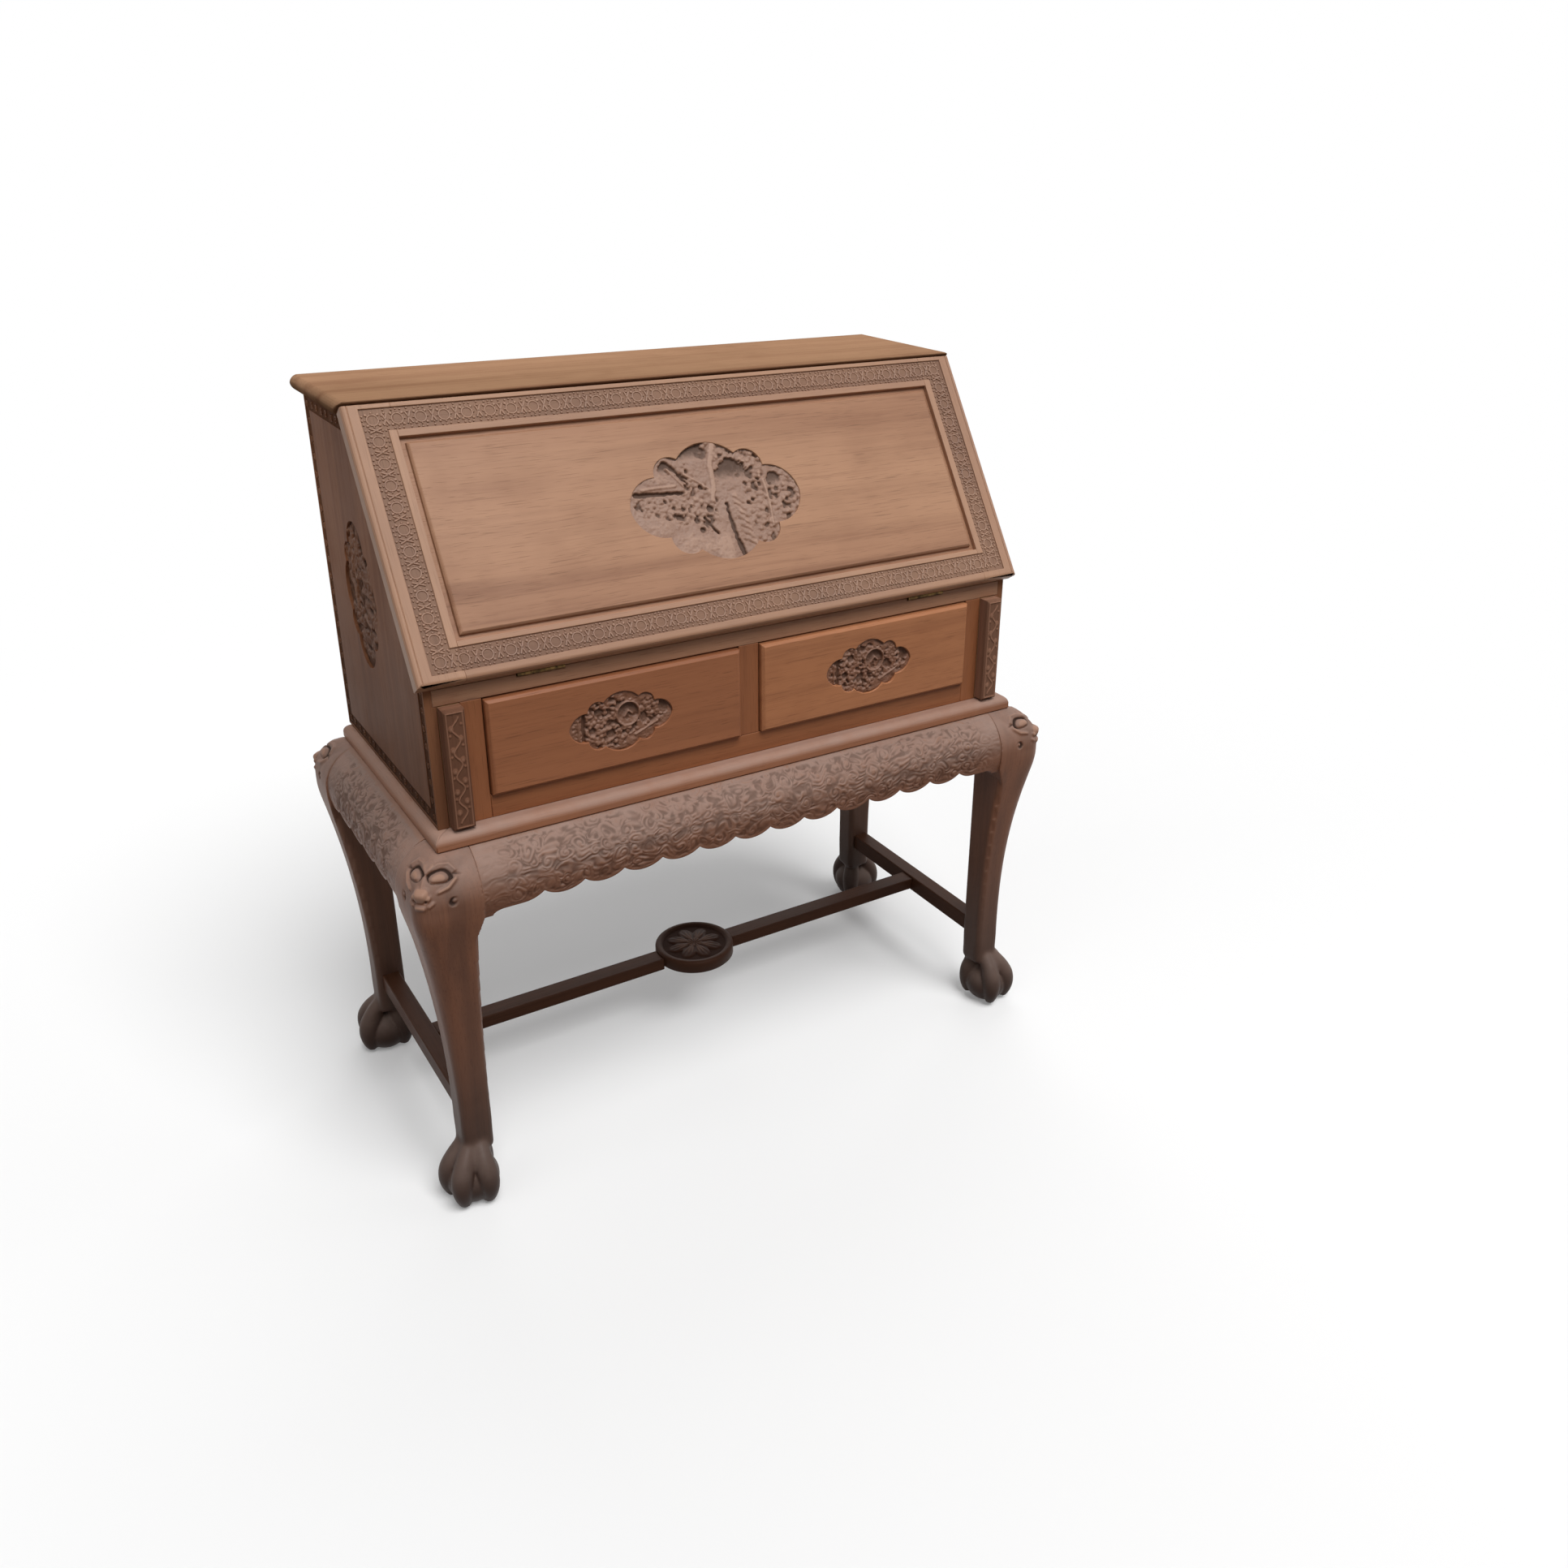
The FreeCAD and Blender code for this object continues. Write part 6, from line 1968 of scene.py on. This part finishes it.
@dataclass
class Fall:
    """The fall: a framed panel with a carved ring border and a landscape, and its hinges.

    Attributes:
        low: Its lower edge, up the slope from the hinge.
        face: Height of its outer face above its inner one.
        band_inset: From each edge to the border's middle, from the lower edge round to the right.
        motif: Radius of a border's motif and width of its carved lines.
        haunch_levels: Heights above the inner face between which the haunches lie.
    """

    finish: WoodFinish = FALL_FRAME
    half_width: float = 460 * MM
    low: float = 0.4 * MM
    high: float = 357 * MM
    face: float = 22.4 * MM
    recess_width: float = 260 * MM
    recess_height: float = 168 * MM
    recess_depth: float = 7 * MM
    band_width: float = 29.5 * MM
    band_depth: float = 2.2 * MM
    band_inset: tuple[float, ...] = (27 * MM, 35 * MM, 21 * MM, 35 * MM)
    band_pitch: float = 29.3 * MM
    motif: Point = (8.0 * MM, 3.0 * MM)
    stile: float = 60 * MM
    haunch_width: float = 9.9 * MM
    haunch_length: float = 12.9 * MM
    haunch_levels: Point = (7.5 * MM, 15.3 * MM)
    quirk_inset: float = 7.6 * MM
    quirk: float = 1.6 * MM
    edge: float = 0.7 * MM
    panel_edge: float = 0.9 * MM

    def place(self, height: float) -> Matrix:
        """From a flat drawing to the shut fall.

        Args:
            height: Height of the drawing above the fall's inner face.

        Returns:
            The place.
        """
        joint = fall_joint()
        slope = math.pi - math.radians(joint["range_deg"][1])
        return (Matrix.Translation(joint["pos_m"]) @ Matrix.Rotation(slope, 4, "X")
                @ Matrix.Translation((0.0, 0.0, height)))

    def build(self) -> None:
        """Build and seat every piece of the fall."""
        outline = [(-self.half_width, self.low), (self.half_width, self.low),
                   (self.half_width, self.high), (-self.half_width, self.high)]
        band = CarvedBand("fall_border", "fall", outline, self.band_inset, self.band_width, self.band_depth,
                          self.band_pitch, Motif.RINGS, self.place(self.face))
        quirks = [self._quirk(way) for way in (1, -1)]
        members = [(f"fall_{label}_stile", Grain.SLOPING, quirks) for label in SIDES]
        members += [(f"fall_{label}_rail", Grain.ACROSS, []) for label in ("top", "bottom")]
        for node, grain, extra in members:
            mesh = carved_away(merged(node), [band.cutter()] + [tool.copy() for tool in extra])
            mesh = joined([mesh] + self._haunches(node))
            piece = rounded(new_piece(f"{node}_carved", band.mark_ground(mesh)), self.edge)
            # The band's ground takes grime and painted shade; the motifs also take dust with painted sheen.
            seat(piece, replace(self.finish, grain=grain, carved=True, grime_and_shade=0.33), "fall", [node])
        band.motifs(replace(self.finish, carved=True, dust_and_sheen=0.42, grime_and_shade=0.34), *self.motif)
        soften("fall_panel", POLISHED, self.panel_edge)
        middle = Matrix.Translation((0.0, (self.low + self.high) / 2, 0.0))
        # The landscape's darker body is painted shade in the recess; its dust, grime and wear also paint sheen,
        # shade and a highlight.
        Recess("fall_landscape", "fall_panel", self.recess_width, self.recess_height, self.recess_depth,
               self.place(self.face - self.recess_depth) @ middle, Scene.LAKE, 0.75 * MM, 11).build(
                   replace(self.finish, body=srgb(136, 98, 76), light=srgb(184, 150, 130), dust_and_sheen=0.34,
                           grime_and_shade=0.70, wear_and_highlight=0.6, seed=2.2))
        for node in ("fall_hinge_leaves", "board_hinge_leaves", "hinge_pins"):
            paint_node(node, BRASS)

    def _haunches(self, node: str) -> list[Mesh]:
        """The ends of a rail's tenons, which fill the stiles' grooves.

        Args:
            node: The rail or stile.

        Returns:
            One block for each end of a rail; none for a stile.
        """
        ends = {"fall_top_rail": (self.high - self.haunch_length, self.high),
                "fall_bottom_rail": (self.low, self.low + self.haunch_length)}
        if node not in ends:
            return []
        inner = self.half_width - self.stile
        spans = [(inner, inner + self.haunch_width), (-inner - self.haunch_width, -inner)]
        (y0, y1), (z0, z1) = ends[node], self.haunch_levels
        return [block("haunch", (x0, y0, z0), (x1, y1, z1), self.place(0.0)) for x0, x1 in spans]

    def _quirk(self, way: int) -> Mesh:
        """A cutter for the fine groove beside a stile's rounded edge.

        Args:
            way: The stile's way from the middle along X.

        Returns:
            The closed cutter.
        """
        x = way * (self.half_width - self.quirk_inset)
        half, proud, past = self.quirk / 2, 0.5 * MM, 5 * MM
        section = [(x - half, proud), (x, -self.quirk), (x + half, proud)]
        ends = (self.low - past, self.high + past)
        vertices = np.array([(across, end, level) for end in ends for across, level in section])
        faces = [(0, 1, 2), (5, 4, 3), (0, 3, 4, 1), (1, 4, 5, 2), (2, 5, 3, 0)]
        mesh = mesh_of("quirk_cutter", vertices, faces)
        mesh.transform(self.place(self.face))
        return mesh


@dataclass
class Drawer:
    """A drawer: a carved front on a plain box."""

    label: str
    finish: WoodFinish = DRAWER
    edge: float = 1.0 * MM
    recess_width: float = 148 * MM
    recess_height: float = 80 * MM
    recess_depth: float = 7 * MM

    def build(self) -> None:
        """Build and seat the drawer's pieces."""
        node = f"{self.label}_drawer_front"
        # The left drawer has a darker body than the right: painted shade on the left, painted light on the right.
        body = {"left": srgb(148, 94, 63), "right": srgb(168, 111, 75)}[self.label]
        soften(node, replace(self.finish, body=body, seed=5.3 + SIDES[self.label]), self.edge)
        place = front_of(node, self.recess_depth)
        # The landscape's darker body is painted shade in the recess; its grime and wear also paint shade and a
        # highlight.
        Recess(f"{self.label}_drawer_landscape", node, self.recess_width, self.recess_height,
               self.recess_depth, place, Scene.GARDEN, 0.6 * MM, 51 + SIDES[self.label]).build(
                   replace(self.finish, body=srgb(112, 73, 52), light=srgb(144, 105, 84), dust_and_sheen=0.26,
                           grime_and_shade=0.48, wear_and_highlight=0.6))
        soften(f"{self.label}_drawer_sides", replace(INNER, grain=Grain.DEEP), self.edge)
        soften(f"{self.label}_drawer_bottom", INNER, 0.5 * MM)
        soften(f"{self.label}_drawer_back", replace(INNER, seed=12.0), self.edge)


@dataclass
class Loper:
    """A loper: the sliding bar and its bevelled face, carved with a climbing vine on sunk ground."""

    label: str
    finish: WoodFinish = CARCASE
    edge: float = 0.8 * MM
    bevel: float = 3 * MM
    sunk: float = 1.0 * MM
    pitch: float = 0.6 * MM

    def build(self) -> None:
        """Build and seat the loper's pieces."""
        body = f"{self.label}_loper"
        soften(body, replace(INNER, grain=Grain.DEEP), self.edge)
        node = f"{body}_face"
        low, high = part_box(node)
        size = high - low
        carve = Carving(size.x, size.z, self.pitch)
        border = np.minimum(size.x / 2 - np.abs(carve.u), size.z / 2 - np.abs(carve.v))
        carve.h = self._vine(carve, size.x, size.z) - self.sunk
        carve.h *= ramp(self.bevel + 0.5 * MM, self.bevel + 2.2 * MM, border)
        carve.h -= np.clip(self.bevel - border, 0.0, None)
        relief = np.clip((carve.h + self.sunk) / self.sunk, 0.0, 1.0)
        mesh = carve.slab(f"{node}_carved", -size.y, front_of(node), self.sunk)
        kept = np.ones(len(mesh.vertices))
        kept[:relief.size] = relief.ravel()
        store(mesh, RELIEF, kept)
        mesh.set_sharp_from_angle(angle=CREASE)
        # The face's sunk ground takes grime and painted shade; the vine takes pale wear and a painted highlight.
        worn = replace(self.finish, carved=True, body=srgb(126, 88, 69), streak=srgb(90, 60, 46),
                       light=srgb(160, 122, 101), grain=Grain.UPRIGHT, grime_and_shade=0.3)
        seat(new_piece(f"{node}_carved", mesh), worn, body, [node])

    def _vine(self, carve: Carving, width: float, height: float) -> Array:
        """Heights of a stem that winds up the face, with a leaf in each bend.

        Args:
            carve: The face's field.
            width: The face's width.
            height: Its height.

        Returns:
            Heights above the sunk ground.
        """
        sway, turns = 0.17 * width, 5
        rises = np.linspace(-0.44 * height, 0.44 * height, 41)
        stem = [(sway * math.sin(FULL_TURN * turns * r / height), r) for r in rises]
        form = ridge(carve.u, carve.v, stem, 2.6 * MM, self.sunk)
        for index in range(2 * turns - 1):
            level = (index + 0.5 - turns + 0.5) * 0.88 * height / (2 * turns)
            way = 1 if index % 2 else -1
            spot = (way * 0.20 * width, level)
            form = np.maximum(form, dome(carve.u, carve.v, spot, (3.6 * MM, 4.8 * MM), self.sunk))
            bud = (-way * 0.27 * width, level + 5 * MM)
            form = np.maximum(form, dome(carve.u, carve.v, bud, (1.7 * MM, 2.2 * MM), self.sunk * 0.9))
        return form


@dataclass
class Inside:
    """The fitted inside: shelf, dividers and two small drawers."""

    finish: WoodFinish = INNER
    edge: float = 0.8 * MM

    def build(self) -> None:
        """Build and seat the inside's pieces."""
        soften("inside_shelf", self.finish, self.edge)
        for row in ("upper", "lower"):
            soften(f"inside_{row}_dividers", replace(self.finish, grain=Grain.UPRIGHT), self.edge)
        for label in SIDES:
            soften(f"inside_{label}_drawer_front", WRITING, 1.0 * MM)
            soften(f"inside_{label}_drawer_box", self.finish, 0.5 * MM)
            paint_node(f"inside_{label}_drawer_knob", WRITING)


# Camera, lamps and floor


@dataclass
class Studio:
    """The view of the bureau: a camera, soft lamps and a pale floor.

    Attributes:
        eye: Where the camera stands.
        yaw: Degrees that it looks to the right of straight on.
        pitch: Degrees that it looks down.
        roll: Degrees that it leans.
        lens: Focal length in millimetres on a sensor 36 mm wide.
        shift: Shift of the picture across and up.
        lamps: Name, way that it shines from, power and spread of each lamp.
        floor_colour: The floor as the camera sees it; dark_floor as it lights the bureau.
        floor_fade: Distances between which the floor fades to white.
    """

    eye: Vec = (-0.8720, -1.7134, 1.3728)
    yaw: float = 33.73
    pitch: float = 24.378
    roll: float = -1.119
    lens: float = 31.11
    shift: Point = (-0.0323, -0.0228)
    floor_radius: float = 5.0
    floor_colour: Colour = (0.86, 0.86, 0.86, 1.0)
    dark_floor: Colour = (0.12, 0.10, 0.085, 1.0)
    floor_glow: float = 0.15
    floor_fade: Point = (1.2, 3.2)
    floor_sides: int = 96
    sky: float = 0.10
    lamps: tuple[tuple[str, Vec, float, float], ...] = (
        ("key", (0.05, -0.50, 0.865), 2.80, 36.0),
        ("rim", (0.40, 0.68, 0.62), 0.8, 50.0),
        ("left_fill", (-0.80, -0.30, 0.52), 0.50, 60.0),
        ("right_fill", (0.90, -0.20, 0.38), 0.50, 60.0),
    )

    WHITE = (1.0, 1.0, 1.0, 1.0)

    def build(self) -> None:
        """Set up the view."""
        bpy.context.scene.view_settings.view_transform = "Standard"
        self._camera()
        for lamp in self.lamps:
            self._lamp(*lamp)
        self._sky()
        self._floor()

    def _camera(self) -> None:
        """Stand the camera where the view was taken from."""
        yaw, pitch, roll = (math.radians(angle) for angle in (self.yaw, self.pitch, self.roll))
        forward = Vector((math.sin(yaw) * math.cos(pitch), math.cos(yaw) * math.cos(pitch), -math.sin(pitch)))
        right = Vector((math.cos(yaw), -math.sin(yaw), 0.0))
        down = forward.cross(right)
        leaning = right * math.cos(roll) + down * math.sin(roll)
        up = leaning.cross(forward)
        camera = bpy.data.objects.new("camera", bpy.data.cameras.new("camera"))
        camera.data.lens, camera.data.sensor_width = self.lens, 36.0
        camera.data.shift_x, camera.data.shift_y = self.shift
        turn = Matrix((leaning, up, -forward)).transposed().to_4x4()
        camera.matrix_world = Matrix.Translation(self.eye) @ turn
        bpy.context.scene.collection.objects.link(camera)
        bpy.context.scene.camera = camera

    def _lamp(self, name: str, way: Vec, power: float, spread: float) -> None:
        """A soft lamp far away.

        Args:
            name: The lamp's name.
            way: Where it shines from.
            power: Its strength.
            spread: How wide it looks, in degrees.
        """
        lamp = bpy.data.objects.new(name, bpy.data.lights.new(name, "SUN"))
        lamp.data.energy, lamp.data.angle = power, math.radians(spread)
        lamp.rotation_euler = Vector(way).to_track_quat("Z", "Y").to_euler()
        bpy.context.scene.collection.objects.link(lamp)

    @staticmethod
    def _shown(bench: Bench) -> Value:
        """Whether a ray shows the background: straight, mirrored or through glass."""
        paths = [bench.node("ShaderNodeLightPath", None, None, f"Is {kind} Ray")
                 for kind in ("Camera", "Glossy", "Transmission")]
        return paths[0].most(paths[1]).most(paths[2])

    def _sky(self) -> None:
        """A dim even light all round, which shows as white."""
        world = bpy.data.worlds.new("studio")
        bpy.context.scene.world = world
        world.use_nodes = True
        bench = Bench(world.node_tree)
        rays = self._shown(bench)
        dim = bench.node("ShaderNodeBackground", None, {"Color": self.WHITE, "Strength": self.sky})
        white = bench.node("ShaderNodeBackground", None, {"Color": self.WHITE, "Strength": 1.0})
        mixed = bench.node("ShaderNodeMixShader", None, {0: rays, 1: dim, 2: white})
        bench.node("ShaderNodeOutputWorld", None, {"Surface": mixed})

    def _floor(self) -> None:
        """A pale floor that fades into the background."""
        turn = np.linspace(0.0, FULL_TURN, self.floor_sides, endpoint=False)
        rim = np.stack([self.floor_radius * np.cos(turn), self.floor_radius * np.sin(turn), 0.0 * turn], -1)
        floor = new_piece("floor", mesh_of("floor", rim, [range(self.floor_sides)]))
        paint = Paint("pale_floor")
        place = paint.coordinates()
        reach = paint.node("ShaderNodeVectorMath", {"operation": "LENGTH"}, {0: place}, 1)
        seen = self._shown(paint)
        pale = paint.node("ShaderNodeBsdfDiffuse", None, {
            "Color": paint.blend(self.dark_floor, self.floor_colour, seen)})
        white = paint.node("ShaderNodeEmission", None, {"Color": self.WHITE, "Strength": 1.0})
        edge = (self.floor_glow + paint.fade(reach, *self.floor_fade)).least(1.0) * seen
        floor.data.materials.append(
            paint.surface(paint.node("ShaderNodeMixShader", None, {0: edge, 1: pale, 2: white})))


def main() -> None:
    """Build the studio and every sub-assembly, in order."""
    logging.basicConfig(level=logging.INFO, format="%(message)s")
    Studio().build()
    Stand().build()
    Case().build()
    Fall().build()
    for label in SIDES:
        Drawer(label).build()
        Loper(label).build()
    Inside().build()


if __name__ == "__main__":
    main()
